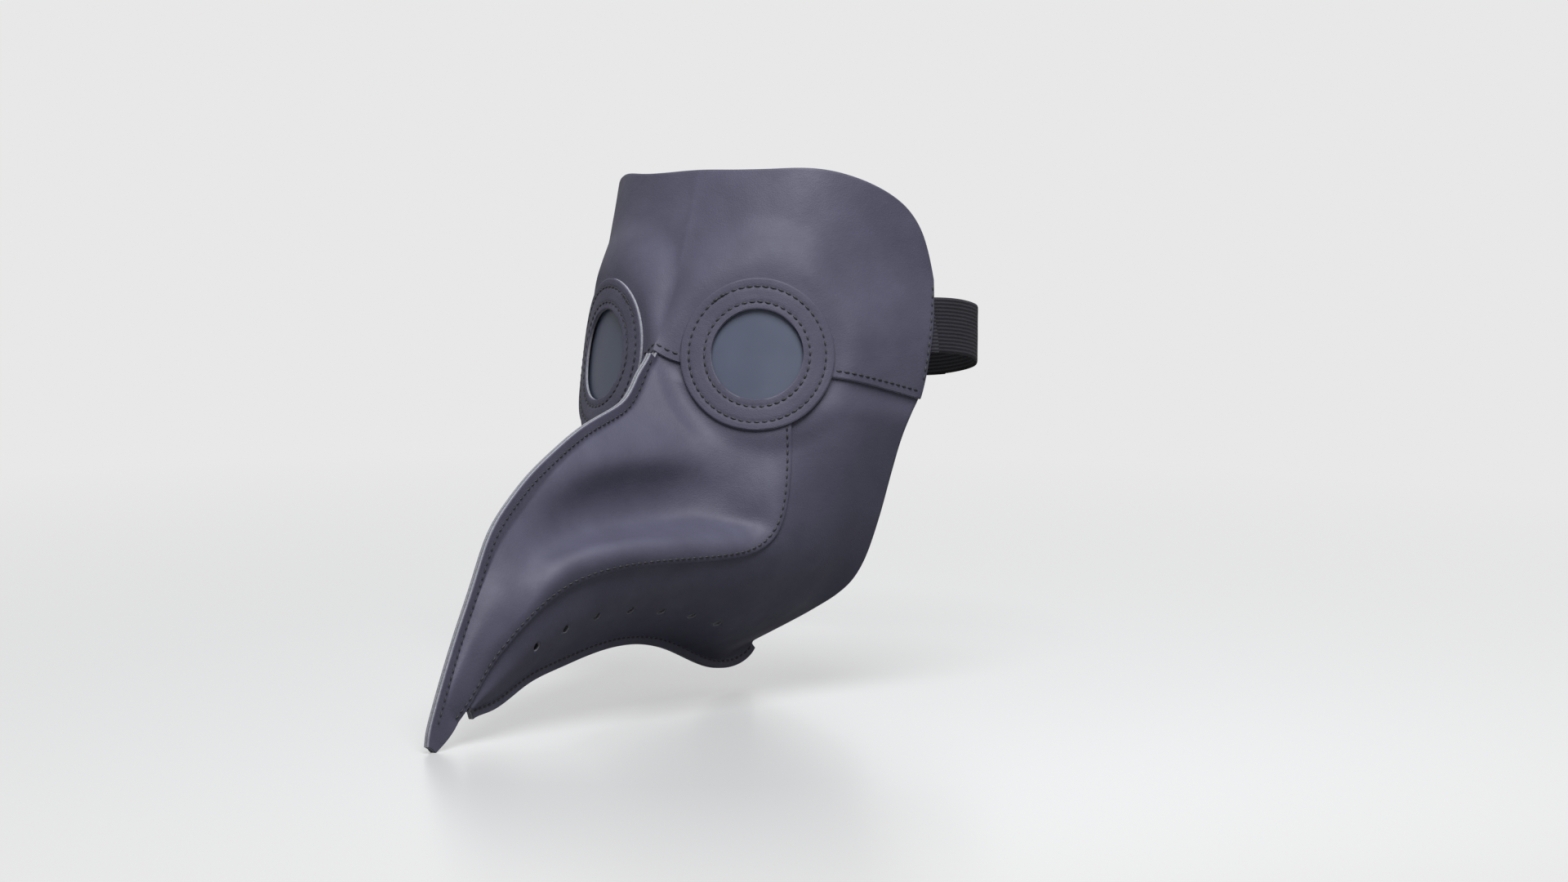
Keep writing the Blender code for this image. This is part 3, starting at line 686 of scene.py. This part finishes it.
def punch_vents(item, sign, edge_material):
    """Cut the round holes through a cheek and keep the cut's pale wall."""
    points = []
    faces = []
    turns = np.arange(VENT_SIDES) * 2.0 * math.pi / VENT_SIDES
    ends = 2 * VENT_SIDES
    for centre, axis in vent_frames():
        across = unit_rows(np.cross(axis, (0.0, 0.0, 1.0)))
        up = np.cross(across, axis)
        circle = VENT_RADIUS * (np.cos(turns)[:, None] * across + np.sin(turns)[:, None] * up)
        first = len(points) * ends
        points.append(np.concatenate((centre + circle - axis * VENT_CUT, centre + circle + axis * VENT_CUT)))
        faces.append(tuple(first + k for k in range(VENT_SIDES)))
        faces.append(tuple(first + k for k in reversed(range(VENT_SIDES, ends))))
        for k in range(VENT_SIDES):
            n = (k + 1) % VENT_SIDES
            faces.append((first + k, first + k + VENT_SIDES, first + n + VENT_SIDES, first + n))
    points = np.concatenate(points)
    if sign < 0:
        points, faces = mirrored(points, faces)
    cutter = link_mesh(item.name + "_cutter", settle(points), faces, [edge_material])
    modifier = item.modifiers.new("vents", "BOOLEAN")
    modifier.operation = "DIFFERENCE"
    modifier.solver = "EXACT"
    modifier.material_mode = "TRANSFER"
    modifier.object = cutter
    graph = bpy.context.evaluated_depsgraph_get()
    finished = bpy.data.meshes.new_from_object(item.evaluated_get(graph))
    item.modifiers.clear()
    item.data = finished
    bpy.data.objects.remove(cutter, do_unlink=True)


def on_eye_face(across, up, height):
    depth = height + eye_bend(across)
    return (EYE_CENTRE + across[..., None] * EYE_ACROSS + up[..., None] * EYE_UP
            + depth[..., None] * EYE_NORMAL)


def ring_shape():
    """Leather ring with rounded edges and two sewn grooves."""
    low = RING_GAP
    high = RING_GAP + LEATHER
    radii = [RING_OPENING, RING_OPENING]
    heights = [low, high - EDGE_ROUND]
    kinds = [2, 0]
    for radius in np.arange(RING_OPENING + EDGE_ROUND, RING_RADIUS - EDGE_ROUND + 0.01, RING_GRID):
        radii.append(radius)
        heights.append(high)
        kinds.append(0)
    radii += [RING_RADIUS, RING_RADIUS, (RING_OPENING + RING_RADIUS) / 2]
    heights += [high - EDGE_ROUND, low, low]
    kinds += [2, 1, 1]
    radii = np.array(radii)
    heights = np.array(heights)
    angles = np.arange(RING_TURNS) * 2.0 * math.pi / RING_TURNS
    height = np.broadcast_to(heights, (RING_TURNS, len(radii))).copy()
    top = heights == high
    for seam in (RING_OUTER_STITCH, RING_INNER_STITCH):
        beats = round(2.0 * math.pi * seam / STITCH_PITCH)
        pinch = GROOVE_DEPTH + GROOVE_BEAT * np.cos(angles * beats)
        groove = pinch[:, None] * np.exp(-((radii - seam) / GROOVE_WIDTH) ** 2)
        height -= groove * top
    height += (0.10 * np.sin(angles * 3.0 + 0.6) + 0.06 * np.sin(angles * 7.0))[:, None] * top
    wobble = 1.0 + 0.0035 * np.sin(angles * 2.0 + 1.0) + 0.002 * np.sin(angles * 5.0)
    radius = radii[None, :] * wobble[:, None]
    points = on_eye_face(np.cos(angles)[:, None] * radius, np.sin(angles)[:, None] * radius, height)
    count = len(radii)
    faces = []
    face_kinds = []
    for i in range(RING_TURNS):
        after = (i + 1) % RING_TURNS
        for j in range(count):
            a = i * count + j
            b = i * count + (j + 1) % count
            c = after * count + (j + 1) % count
            d = after * count + j
            faces.append((a, b, c, d))
            face_kinds.append(kinds[j])
    return points.reshape(-1, 3), faces, face_kinds


def lens_shape():
    """Thin window bent with the ring, its edge slightly rounded."""
    rings = ((8.0, 0.0), (16.0, 0.0), (24.0, 0.0), (28.0, 0.0), (LENS_BEND_RADIUS, -0.06),
             (LENS_RADIUS, -0.25), (LENS_RADIUS, -LENS_THICKNESS + 0.2), (LENS_BEND_RADIUS, -LENS_THICKNESS),
             (16.0, -LENS_THICKNESS))
    turns = LENS_TURNS
    angles = np.arange(turns) * 2.0 * math.pi / turns
    points = []
    for radius, height in rings:
        points.append(on_eye_face(np.cos(angles) * radius, np.sin(angles) * radius,
                                  np.full(turns, LENS_FACE + height)))
    for height in (LENS_FACE, LENS_FACE - LENS_THICKNESS):
        points.append(on_eye_face(np.zeros(1), np.zeros(1), np.full(1, height)))
    front = len(rings) * turns
    faces = []
    for k in range(turns):
        n = (k + 1) % turns
        faces.append((front, k, n))
        for loop in range(len(rings) - 1):
            here = loop * turns
            faces.append((here + k, here + turns + k, here + turns + n, here + n))
        last = front - turns
        faces.append((front + 1, last + n, last + k))
    return np.concatenate(points), faces


# ---------------------------------------------------------------- stitches

def walk(path, normals, distances):
    """Points and normals at given distances along a polyline."""
    lengths = np.concatenate(((0.0,), np.cumsum(np.linalg.norm(np.diff(path, axis=0), axis=1))))
    spots = np.stack([np.interp(distances, lengths, path[:, k]) for k in range(3)], axis=1)
    ups = np.stack([np.interp(distances, lengths, normals[:, k]) for k in range(3)], axis=1)
    return spots, unit_rows(ups)


def path_length(path):
    return float(np.linalg.norm(np.diff(path, axis=0), axis=1).sum())


def stitch_shapes(path, normals, pitch=STITCH_PITCH, length=STITCH_LENGTH, radius=THREAD_RADIUS,
                  closed=False):
    """A row of separate thread stitches that dive into the leather at both ends."""
    total = path_length(path)
    count = max(1, int(round(total / pitch)) if closed else int(total / pitch))
    pitch = total / count
    share = steps(0.0, 1.0, STITCH_RINGS)
    bow = np.sin(math.pi * share) ** 0.7
    turns = np.arange(STITCH_SIDES) * 2.0 * math.pi / STITCH_SIDES
    points = []
    faces = []
    for k in range(count):
        start = k * pitch + 0.5 * (pitch - length)
        spots, ups = walk(path, normals, start + share * length)
        along = unit_rows(np.gradient(spots, axis=0))
        side = unit_rows(np.cross(along, ups))
        lean = STITCH_LEAN * (share - 0.5) * (1.0 if k % 2 else 0.7)
        rise = STITCH_RISE * radius * bow - STITCH_DIVE * radius * (1.0 - bow)
        centre = spots + ups * rise[:, None] + side * lean[:, None]
        size = radius * (STITCH_END_SIZE + (1.0 - STITCH_END_SIZE) * bow)
        rim = (np.cos(turns)[None, :, None] * side[:, None] * 1.12
               + np.sin(turns)[None, :, None] * np.cross(side, along)[:, None] * 0.85)
        rings = centre[:, None] + rim * size[:, None, None]
        first = k * STITCH_RINGS * STITCH_SIDES
        points.append(rings.reshape(-1, 3))
        for i in range(STITCH_RINGS - 1):
            for j in range(STITCH_SIDES):
                a = first + i * STITCH_SIDES + j
                b = first + i * STITCH_SIDES + (j + 1) % STITCH_SIDES
                faces.append((a, b, b + STITCH_SIDES, a + STITCH_SIDES))
        faces.append(tuple(first + j for j in reversed(range(STITCH_SIDES))))
        last = first + (STITCH_RINGS - 1) * STITCH_SIDES
        faces.append(tuple(last + j for j in range(STITCH_SIDES)))
    return np.concatenate(points), faces


def lap_path():
    rows = steps(*LAP_STITCH_ROWS, 420)
    near_lap = np.full(len(rows), LAP_COLUMN - 0.1)
    columns = LAP_COLUMN - LAP_STITCH_INSET / seam_step(rows, near_lap, 0.0, 0.1)
    return skin(rows, columns, brow_sink(rows)), base_normals(rows, columns)


def brow_paths():
    """The stitched line above the brow seam, on each side of the ring that covers its middle."""
    columns = steps(0.0, EDGE_COLUMN - 0.06, 300)
    near_brow = np.full(len(columns), BROW_ROW - 0.1)
    rows = BROW_ROW - BROW_STITCH_INSET / seam_step(near_brow, columns, 0.1, 0.0)
    points = base_points(rows, columns)
    normals = base_normals(rows, columns)
    points = points + normals * relief(points)[:, None]
    across, up, _ = eye_coordinates(points)
    free = np.hypot(across, up) > RING_RADIUS + 0.5
    first_hidden = int(np.argmin(free))
    last_hidden = len(free) - int(np.argmin(free[::-1]))
    return ((points[:first_hidden], normals[:first_hidden]), (points[last_hidden:], normals[last_hidden:]))


def rim_path():
    """The line that sews the elastic's end inside the rim."""
    rows = steps(*RIM_STITCH_ROWS, 120)
    near_edge = np.full(len(rows), EDGE_COLUMN - 0.1)
    columns = EDGE_COLUMN - RIM_STITCH_INSET / seam_step(rows, near_edge, 0.0, 0.1)
    points = base_points(rows, columns)
    normals = base_normals(rows, columns)
    return points + normals * relief(points)[:, None], normals


def flange_path(ends, column, sign, lift):
    rows = steps(*ends, 500)
    root, out = turned_out(rows, column, sign)
    path = root + out * lift
    outward = np.broadcast_to((1.0, 0.0, 0.0), path.shape)
    return path, unit_rows(outward - 0.15 * out)


def eye_path(angles, reach, sink):
    """Part of a circle on the ring's face, a little below it."""
    depth = np.full(len(angles), RING_GAP + LEATHER - sink)
    path = on_eye_face(np.cos(angles) * reach, np.sin(angles) * reach, depth)
    return path, np.broadcast_to(EYE_NORMAL, path.shape)


def ring_path(seam):
    return eye_path(steps(0.0, 2.0 * math.pi, 400) + math.radians(100.0), seam, 0.28)


def back_tack_path():
    """A short second run of thread where the ring's outer row starts and ends."""
    return eye_path(np.radians(steps(131.0, 117.0, 30)), RING_OUTER_STITCH + 0.25, 0.02)


# ---------------------------------------------------------------- strap

def loop_point(angle, offset):
    turn = np.radians(angle)
    along = np.stack((-STRAP_HALF_SPAN * np.sin(turn), STRAP_DEPTH * np.cos(turn)), axis=-1)
    out = unit_rows(np.stack((along[..., 1], -along[..., 0]), axis=-1))
    centre = np.stack((STRAP_HALF_SPAN * np.cos(turn), STRAP_START_Y + STRAP_DEPTH * np.sin(turn)), axis=-1)
    return centre + out * np.asarray(offset)[..., None]


def strap_drop(angles):
    return STRAP_DROP * smooth(np.minimum(angles, 180.0 - angles), 0.0, 90.0)


def band_shape(angles, offsets, thickness, margin, rounding, ripple=0.0):
    """Strip of the loop with rounded long edges, and texture coordinates in millimetres."""
    across = np.concatenate(((0.0, 0.02), steps(0.06, 0.94, 12), (0.98, 1.0)))
    drop = strap_drop(angles)
    top = STRAP_TOP - drop - margin
    bottom = STRAP_TOP - STRAP_WIDTH - drop + margin
    edge = np.minimum(across, 1.0 - across)
    tuck = rounding * (1.0 - smooth(edge, 0.0, 0.03))
    grids = []
    middle = loop_point(angles, offsets + thickness / 2)
    lengths = np.concatenate(((0.0,), np.cumsum(np.linalg.norm(np.diff(middle, axis=0), axis=1))))
    for lift, sign in ((0.0, 1.0), (thickness, -1.0)):
        grid = np.zeros((len(angles), len(across), 3))
        for j, share in enumerate(across):
            wave = ripple * np.sin(lengths / 9.0 + 3.0 * share) * abs(share - 0.5) * 2.0
            grid[:, j, :2] = loop_point(angles, offsets + lift + sign * tuck[j] + wave)
            grid[:, j, 2] = top + (bottom - top) * share
        grids.append(grid)
    points, faces, kinds = shell(grids[0], grids[1], whole(grids[0]))
    cloth = np.meshgrid(lengths, across * (STRAP_WIDTH - 2 * margin), indexing="ij")
    uv = np.stack(cloth, axis=-1).reshape(-1, 2)
    return points, faces, np.concatenate((uv, uv)) * MM * CLOTH_SCALE, kinds


def root_shape():
    """End of the elastic: flat inside the forehead, then on across the hinge into the band."""
    last_y = HINGE_Y - TAB_HINGE_GAP
    heights = steps(STRAP_TOP - TAB_MARGIN, STRAP_TOP - STRAP_WIDTH + TAB_MARGIN, ROOT_HEIGHTS)
    lengths = steps(last_y - STRAP_TAB_LENGTH, last_y, ROOT_LENGTHS)
    ys, zs = np.meshgrid(lengths, heights, indexing="ij")
    rows, columns = net_spots(ys - TAB_RIM_MARGIN, zs, TAB_FIRST_GUESS)
    normals = base_normals(rows, np.minimum(columns, EDGE_COLUMN))
    middle = base_points(rows, columns) - normals * (LEATHER + LAYER_GAP + STRAP_THICKNESS / 2)
    sewn, sewn_normals = middle[-1], normals[-1]
    target = np.zeros(sewn.shape)
    target[:, 0] = STRAP_HALF_SPAN + STRAP_THICKNESS / 2
    target[:, 1] = STRAP_START_Y + ROOT_OVERLAP
    target[:, 2] = heights
    for share in steps(0.0, 1.0, ROOT_BEND_STEPS)[1:]:
        shares = np.array((smooth(share, 0.0, ROOT_SIDE_SHARE), share, share))
        facing = unit_rows(sewn_normals * (1.0 - share) + np.array((1.0, 0.0, 0.0)) * share)
        middle = np.concatenate((middle, (sewn + (target - sewn) * shares)[None]))
        normals = np.concatenate((normals, facing[None]))
    thickness = STRAP_THICKNESS - ROOT_THINNING * smooth(middle[:, :1, 1:2], last_y, HINGE_Y)
    outer = middle + normals * thickness / 2
    inner = middle - normals * thickness / 2
    points, faces, kinds = shell(inner, outer, whole(outer))
    cloth = middle[..., 1:].reshape(-1, 2)
    return points, faces, np.concatenate((cloth, cloth)) * MM * CLOTH_SCALE, kinds


def outer_layer(angles):
    """How far the right half lies outside the left: on top of it, then easing down to its seam."""
    return OUTER_OFFSET * (1.0 - smooth(angles, LAYER_START_ANGLE, LAYER_END_ANGLE))


# ---------------------------------------------------------------- materials

class Look:
    """Node tree of a material or of the world, with short calls for the nodes in use."""

    def __init__(self, owner):
        owner.use_nodes = True
        self.owner = owner
        self.nodes = owner.node_tree.nodes
        self.vector = None

    def feed(self, node, inputs):
        """Set inputs of a node to plain values, or link them to other nodes' outputs."""
        for socket, value in inputs.items():
            if isinstance(value, bpy.types.NodeSocket):
                self.owner.node_tree.links.new(value, node.inputs[socket])
            else:
                node.inputs[socket].default_value = value

    def node(self, kind, output, inputs=None, **settings):
        """Add a node and return one of its outputs."""
        node = self.nodes.new("ShaderNode" + kind)
        for name, value in settings.items():
            setattr(node, name, value)
        self.feed(node, inputs or {})
        return node.outputs[output]

    def noise(self, scale, detail, roughness=0.55):
        return self.node("TexNoise", "Fac", {"Vector": self.vector, "Scale": scale, "Detail": detail,
                                             "Roughness": roughness})

    def cells(self, scale):
        return self.node("TexVoronoi", "Distance", {"Vector": self.vector, "Scale": scale})

    def waves(self, axis, scale, distortion):
        return self.node("TexWave", "Fac", {"Vector": self.vector, "Scale": scale, "Distortion": distortion},
                         bands_direction=axis)

    def maths(self, operation, first, second):
        return self.node("Math", "Value", {0: first, 1: second}, operation=operation)

    def mapped(self, value, low, high, to_low, to_high):
        return self.node("MapRange", "Result", {"Value": value, "From Min": low, "From Max": high,
                                                "To Min": to_low, "To Max": to_high})

    def ramp(self, value, *stops):
        """Colours along a value: each stop is a position and its red, green and blue."""
        colour = self.node("ValToRGB", "Color", {"Fac": value})
        elements = colour.node.color_ramp.elements
        while len(elements) < len(stops):
            elements.new(0.5)
        for element, (position, tone) in zip(elements, stops):
            element.position = position
            element.color = (*tone, 1.0)
        return colour

    def bump(self, height, strength, distance, **below):
        return self.node("Bump", "Normal", {"Height": height, "Strength": strength, "Distance": distance,
                                            **below})

    def surface(self, inputs):
        """Feed the material's own shader and return the material."""
        self.feed(self.nodes["Principled BSDF"], inputs)
        return self.owner


def new_look(name, space="Object"):
    look = Look(bpy.data.materials.new(name))
    look.vector = look.node("TexCoord", space)
    return look


def leather_material():
    """Charcoal synthetic leather: fine pebbled grain, faint mottling and pale scuffs."""
    look = new_look("charcoal_leather")
    mottle = look.noise(38.0, 4.0)
    tone = look.ramp(mottle, (0.30, (0.049, 0.047, 0.075)), (0.52, (0.056, 0.054, 0.085)),
                     (0.72, (0.064, 0.062, 0.096)))
    scuffs = look.ramp(look.noise(120.0, 6.0, 0.72), (0.69, (0.0, 0.0, 0.0)), (0.78, (0.05, 0.05, 0.055)))
    scuffed = look.node("Mix", "Result", {"Factor": 0.6, "A": tone, "B": scuffs},
                        data_type="RGBA", blend_type="ADD")
    pebbles = look.maths("ADD", look.cells(1500.0), look.maths("MULTIPLY", look.noise(620.0, 3.0), 0.9))
    grain = look.bump(pebbles, 0.32, 0.00022)
    return look.surface({
        "Base Color": scuffed,
        "Roughness": look.mapped(mottle, 0.3, 0.75, 0.66, 0.58),
        "Specular IOR Level": 0.36,
        "Normal": look.bump(look.noise(95.0, 5.0, 0.6), 0.25, 0.0011, Normal=grain),
    })


def cut_edge_material():
    """Raw pale edge of the cut leather, with its fibres."""
    look = new_look("pale_cut_edge")
    fibre = look.noise(900.0, 5.0, 0.7)
    tone = look.ramp(fibre, (0.25, (0.115, 0.115, 0.135)), (0.5, (0.20, 0.20, 0.225)),
                     (0.8, (0.30, 0.30, 0.33)))
    return look.surface({"Base Color": tone, "Roughness": 0.85, "Normal": look.bump(fibre, 0.5, 0.0002)})


def backing_material():
    """Dark knitted backing on the inside of the leather."""
    look = new_look("knit_backing")
    tone = look.ramp(look.noise(300.0, 4.0), (0.3, (0.034, 0.034, 0.040)), (0.7, (0.062, 0.062, 0.070)))
    knit = look.bump(look.cells(1100.0), 0.6, 0.0004)
    return look.surface({"Base Color": tone, "Roughness": 0.95, "Sheen Weight": 0.25, "Normal": knit})


def thread_material():
    """Near-black waxed thread with a fine twist."""
    look = new_look("dark_thread")
    twist = look.noise(2400.0, 2.0)
    tone = look.ramp(twist, (0.35, (0.003, 0.003, 0.005)), (0.7, (0.009, 0.009, 0.012)))
    return look.surface({"Base Color": tone, "Roughness": 0.6, "Normal": look.bump(twist, 0.5, 0.00015)})


def lens_material():
    """Matte grey-blue window, faintly cloudy."""
    look = new_look("smoke_lens")
    cloud = look.noise(30.0, 3.0)
    return look.surface({
        "Base Color": look.ramp(cloud, (0.3, (0.050, 0.060, 0.092)), (0.7, (0.059, 0.070, 0.105))),
        "Roughness": look.mapped(cloud, 0.3, 0.7, 0.42, 0.5),
        "Specular IOR Level": 0.4,
        "Normal": look.bump(look.noise(1500.0, 2.0), 0.05, 0.0001),
    })


def elastic_material(name, dark, light):
    """Woven elastic: ribs along its length and fine picks across."""
    look = new_look(name, "UV")
    picks = look.maths("MULTIPLY", look.waves("X", 46.0, 0.8), 0.6)
    weave = look.maths("ADD", look.waves("Y", 16.0, 0.5), picks)
    return look.surface({
        "Base Color": look.ramp(look.maths("MULTIPLY", weave, 0.625), (0.1, dark), (0.9, light)),
        "Roughness": 0.9,
        "Specular IOR Level": 0.15,
        "Normal": look.bump(weave, 0.6, 0.0004),
    })


def nap_material():
    """Hook-and-loop tape: a dense dark nap."""
    look = new_look("hook_and_loop_nap")
    nap = look.cells(900.0)
    tone = look.ramp(nap, (0.0, (0.035, 0.035, 0.038)), (0.6, (0.008, 0.008, 0.009)))
    nap_bump = look.bump(nap, 0.9, 0.0008)
    return look.surface({"Base Color": tone, "Roughness": 1.0, "Sheen Weight": 0.3, "Normal": nap_bump})


# ---------------------------------------------------------------- pieces

CUT_EDGE = cut_edge_material()
LEATHER_SET = [leather_material(), backing_material(), CUT_EDGE]
THREAD = thread_material()
LENS = lens_material()
ELASTIC = elastic_material("charcoal_elastic", (0.015, 0.015, 0.018), (0.052, 0.050, 0.062))
# The loop's inner face (and the roots' face towards the mask) is the same elastic in a far darker copy:
# painted shade for the shadowed inside of the band
ELASTIC_INSIDE_SHADE = elastic_material("elastic_inside_painted_shade", (0.003, 0.003, 0.004), (0.009, 0.009, 0.011))
BAND_SET = [ELASTIC_INSIDE_SHADE, ELASTIC, ELASTIC]
NAP = nap_material()
SIDES = (("left", 1.0), ("right", -1.0))


def place(name, points, faces, materials, body, node=None, kinds=None, uvs=None):
    item = link_mesh(name, points, faces, materials, kinds, uvs)
    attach(item, body)
    if node:
        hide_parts(node)
    return item


def place_sewn(label, side, points, faces, materials, slot, node=None, kinds=None):
    """A piece of the sewn mask, given as its left one, on either side."""
    if side == "right":
        points, faces = mirrored(points, faces)
    name = label + "_" + side
    return place(name, settle(points), faces, materials, "mask", node, kinds)


def panel_shell(outer, inner, kept):
    """Closed leather panel with its share of the eye hole left out."""
    outer, kept = open_eye(outer, kept)
    inner, _ = open_eye(inner, whole(inner))
    return shell(outer, inner, kept)


def make_forehead():
    outer, inner = forehead_grid()
    points, faces, kinds = panel_shell(outer, inner, whole(outer))
    place("forehead_leather", settle(points), faces, LEATHER_SET, "mask", "forehead_panel", kinds)


def make_side_panels():
    for label, grid in (("beak_top", beak_grid()), ("cheek", cheek_grid())):
        points, faces, kinds = panel_shell(*grid)
        for side, sign in SIDES:
            item = place_sewn(label + "_leather", side, points, faces, LEATHER_SET, "leather",
                              label + "_" + side, kinds)
            if label == "cheek":
                punch_vents(item, sign, CUT_EDGE)


def make_windows():
    points, faces, kinds = ring_shape()
    lens = lens_shape()
    for side, _ in SIDES:
        place_sewn("eye_ring_leather", side, points, faces, LEATHER_SET, "leather", "eye_ring_" + side, kinds)
        place_sewn("lens_window", side, *lens, [LENS], "lens", "lens_" + side)


def make_stitches():
    inner_brow, outer_brow = brow_paths()
    rows = {
        "lap_stitches": stitch_shapes(*lap_path()),
        "brow_inner_stitches": stitch_shapes(*inner_brow),
        "brow_outer_stitches": stitch_shapes(*outer_brow),
        "rim_stitches": stitch_shapes(*rim_path()),
        "ridge_stitches": stitch_shapes(*flange_path(RIDGE_STITCH_ROWS, 0.0, 1.0, RIDGE_STITCH_LIFT)),
        "keel_stitches": stitch_shapes(*flange_path(KEEL_STITCH_ROWS, EDGE_COLUMN, -1.0, KEEL_STITCH_LIFT)),
        "ring_outer_stitches": stitch_shapes(*ring_path(RING_OUTER_STITCH), closed=True),
        "ring_inner_stitches": stitch_shapes(*ring_path(RING_INNER_STITCH), closed=True),
        "ring_back_tack": stitch_shapes(*back_tack_path(), radius=BACK_TACK_RADIUS),
    }
    for label, shape in rows.items():
        for side, _ in SIDES:
            place_sewn(label, side, *shape, [THREAD], "leather")


def make_strap():
    """Both halves of the band, the flap at its back, and the two tapes that fasten it."""
    left = steps(-BAND_END_OVERLAP, LEFT_END_ANGLE, 150)
    right = steps(FLAP_FOLD_ANGLE, 180.0 + BAND_END_OVERLAP, 110)
    flap = steps(FLAP_END_ANGLE, FLAP_FOLD_ANGLE, 45)
    for name, body, node, angles, lifts, ripple in (
            ("elastic_left", "left_band", "strap_left", left, np.zeros(len(left)), BAND_RIPPLE),
            ("elastic_right", "right_band", "strap_right", right, outer_layer(right), BAND_RIPPLE),
            ("elastic_flap", "closure", "strap_flap", flap, outer_layer(flap), 0.0)):
        points, faces, uvs, kinds = band_shape(angles, lifts, STRAP_THICKNESS, 0.0, BAND_ROUNDING, ripple)
        place(name, points, faces, BAND_SET, body, node, kinds, uvs)
    angles = steps(PATCH_FIRST_ANGLE, PATCH_LAST_ANGLE, PATCH_LINES)
    for name, offset, body, node in (("loop_tape", LOOP_OFFSET, "left_band", "loop_patch"),
                                     ("hook_tape", HOOK_OFFSET, "closure", "hook_patch")):
        lifts = np.full(PATCH_LINES, offset)
        points, faces, uvs, _ = band_shape(angles, lifts, PATCH_THICKNESS, PATCH_MARGIN, PATCH_ROUNDING)
        place(name, points, faces, [NAP], body, node, uvs=uvs)


def make_strap_roots():
    """Each root is sewn to the mask at one end and bends into its band at the other."""
    for side, sign in SIDES:
        points, faces, uvs, kinds = root_shape()
        if side == "right":
            points, faces = mirrored(points, faces)
        item = link_mesh("elastic_root_" + side, points, faces, BAND_SET, kinds, uvs)
        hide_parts("strap_tab_" + side)
        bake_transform(item)


# ---------------------------------------------------------------- studio

def make_stage():
    """A glossy floor that passes under the beak's tip and rises away from the camera."""
    across = sideways(CAMERA_AZIMUTH)
    away = np.cross(direction(CAMERA_AZIMUTH, math.pi / 2 - FLOOR_TILT), across)
    spot = base_points(TIP_ROW, 0.0)
    spot[2] = CAD_BOX[0][2] / MM
    points = np.array([spot + across * x * FLOOR_SIZE + away * y * FLOOR_SIZE
                       for x, y in ((-1, -1), (1, -1), (1, 1), (-1, 1))])
    look = new_look("pale_floor")
    distance = look.node("VectorMath", "Value", {0: look.vector}, operation="LENGTH")
    fade = look.mapped(distance, 0.36, 0.9, FLOOR_GLOW, 1.0)
    seen = look.node("LightPath", "Is Camera Ray")
    material = look.surface({
        "Base Color": look.mapped(seen, 0.0, 1.0, FLOOR_BOUNCE, FLOOR_ALBEDO),
        "Roughness": 0.24,
        "Specular IOR Level": 0.5,
    })
    plain = look.node("Emission", "Emission", {"Color": (BACKDROP, BACKDROP, BACKDROP, 1.0)})
    glossy = look.nodes["Principled BSDF"].outputs[0]
    blend = look.node("MixShader", "Shader", {0: look.maths("MULTIPLY", fade, seen), 1: glossy, 2: plain})
    look.feed(look.nodes["Material Output"], {"Surface": blend})
    link_mesh("floor", points, [(0, 1, 2, 3)], [material])


def make_world():
    """An even pale backdrop, which reflections show too, and dimmer light from all round."""
    world = bpy.data.worlds.new("studio")
    look = Look(world)
    look.feed(look.nodes["Background"], {"Color": (1.0, 1.0, 1.0, 1.0), "Strength": BACKDROP})
    backdrop = look.nodes["Background"].outputs[0]
    ambient = look.node("Background", "Background", {"Color": (0.93, 0.96, 1.0, 1.0), "Strength": AMBIENT})
    ray = look.node("LightPath", "Is Camera Ray").node.outputs
    seen = look.maths("MAXIMUM", ray["Is Camera Ray"], ray["Is Glossy Ray"])
    mix = look.node("MixShader", "Shader", {0: seen, 1: ambient, 2: backdrop})
    look.feed(look.nodes["World Output"], {"Surface": mix})
    bpy.context.scene.world = world
    bpy.context.scene.view_settings.view_transform = "Standard"


def make_lamp(name, azimuth, elevation, distance, size, power):
    data = bpy.data.lights.new(name, "AREA")
    data.shape = "DISK"
    data.size = size
    data.energy = power
    data.color = (0.96, 0.98, 1.0)
    lamp = bpy.data.objects.new(name, data)
    turn = math.radians(azimuth)
    lift = math.radians(elevation)
    lamp.location = direction(turn, lift) * distance
    lamp.rotation_euler = (math.pi / 2 - lift, 0.0, turn)
    bpy.context.scene.collection.objects.link(lamp)


def make_camera():
    target = sideways(CAMERA_AZIMUTH) * VIEW_CENTRE_ACROSS + np.array((0.0, 0.0, VIEW_CENTRE_UP))
    towards = direction(CAMERA_AZIMUTH, CAMERA_ELEVATION)
    data = bpy.data.cameras.new("camera")
    data.sensor_width = SENSOR_WIDTH
    data.lens = SENSOR_WIDTH * CAMERA_DISTANCE / FRAME_WIDTH
    data.clip_start = 1.0
    data.clip_end = 400.0
    camera = bpy.data.objects.new("camera", data)
    camera.location = (target + towards * CAMERA_DISTANCE) * MM
    camera.rotation_euler = (math.pi / 2 - CAMERA_ELEVATION, 0.0, CAMERA_AZIMUTH)
    bpy.context.scene.collection.objects.link(camera)
    bpy.context.scene.camera = camera


make_camera()
make_world()
make_stage()
for lamp_settings in LAMPS:
    make_lamp(*lamp_settings)
make_forehead()
make_side_panels()
make_windows()
make_stitches()
make_strap()
make_strap_roots()
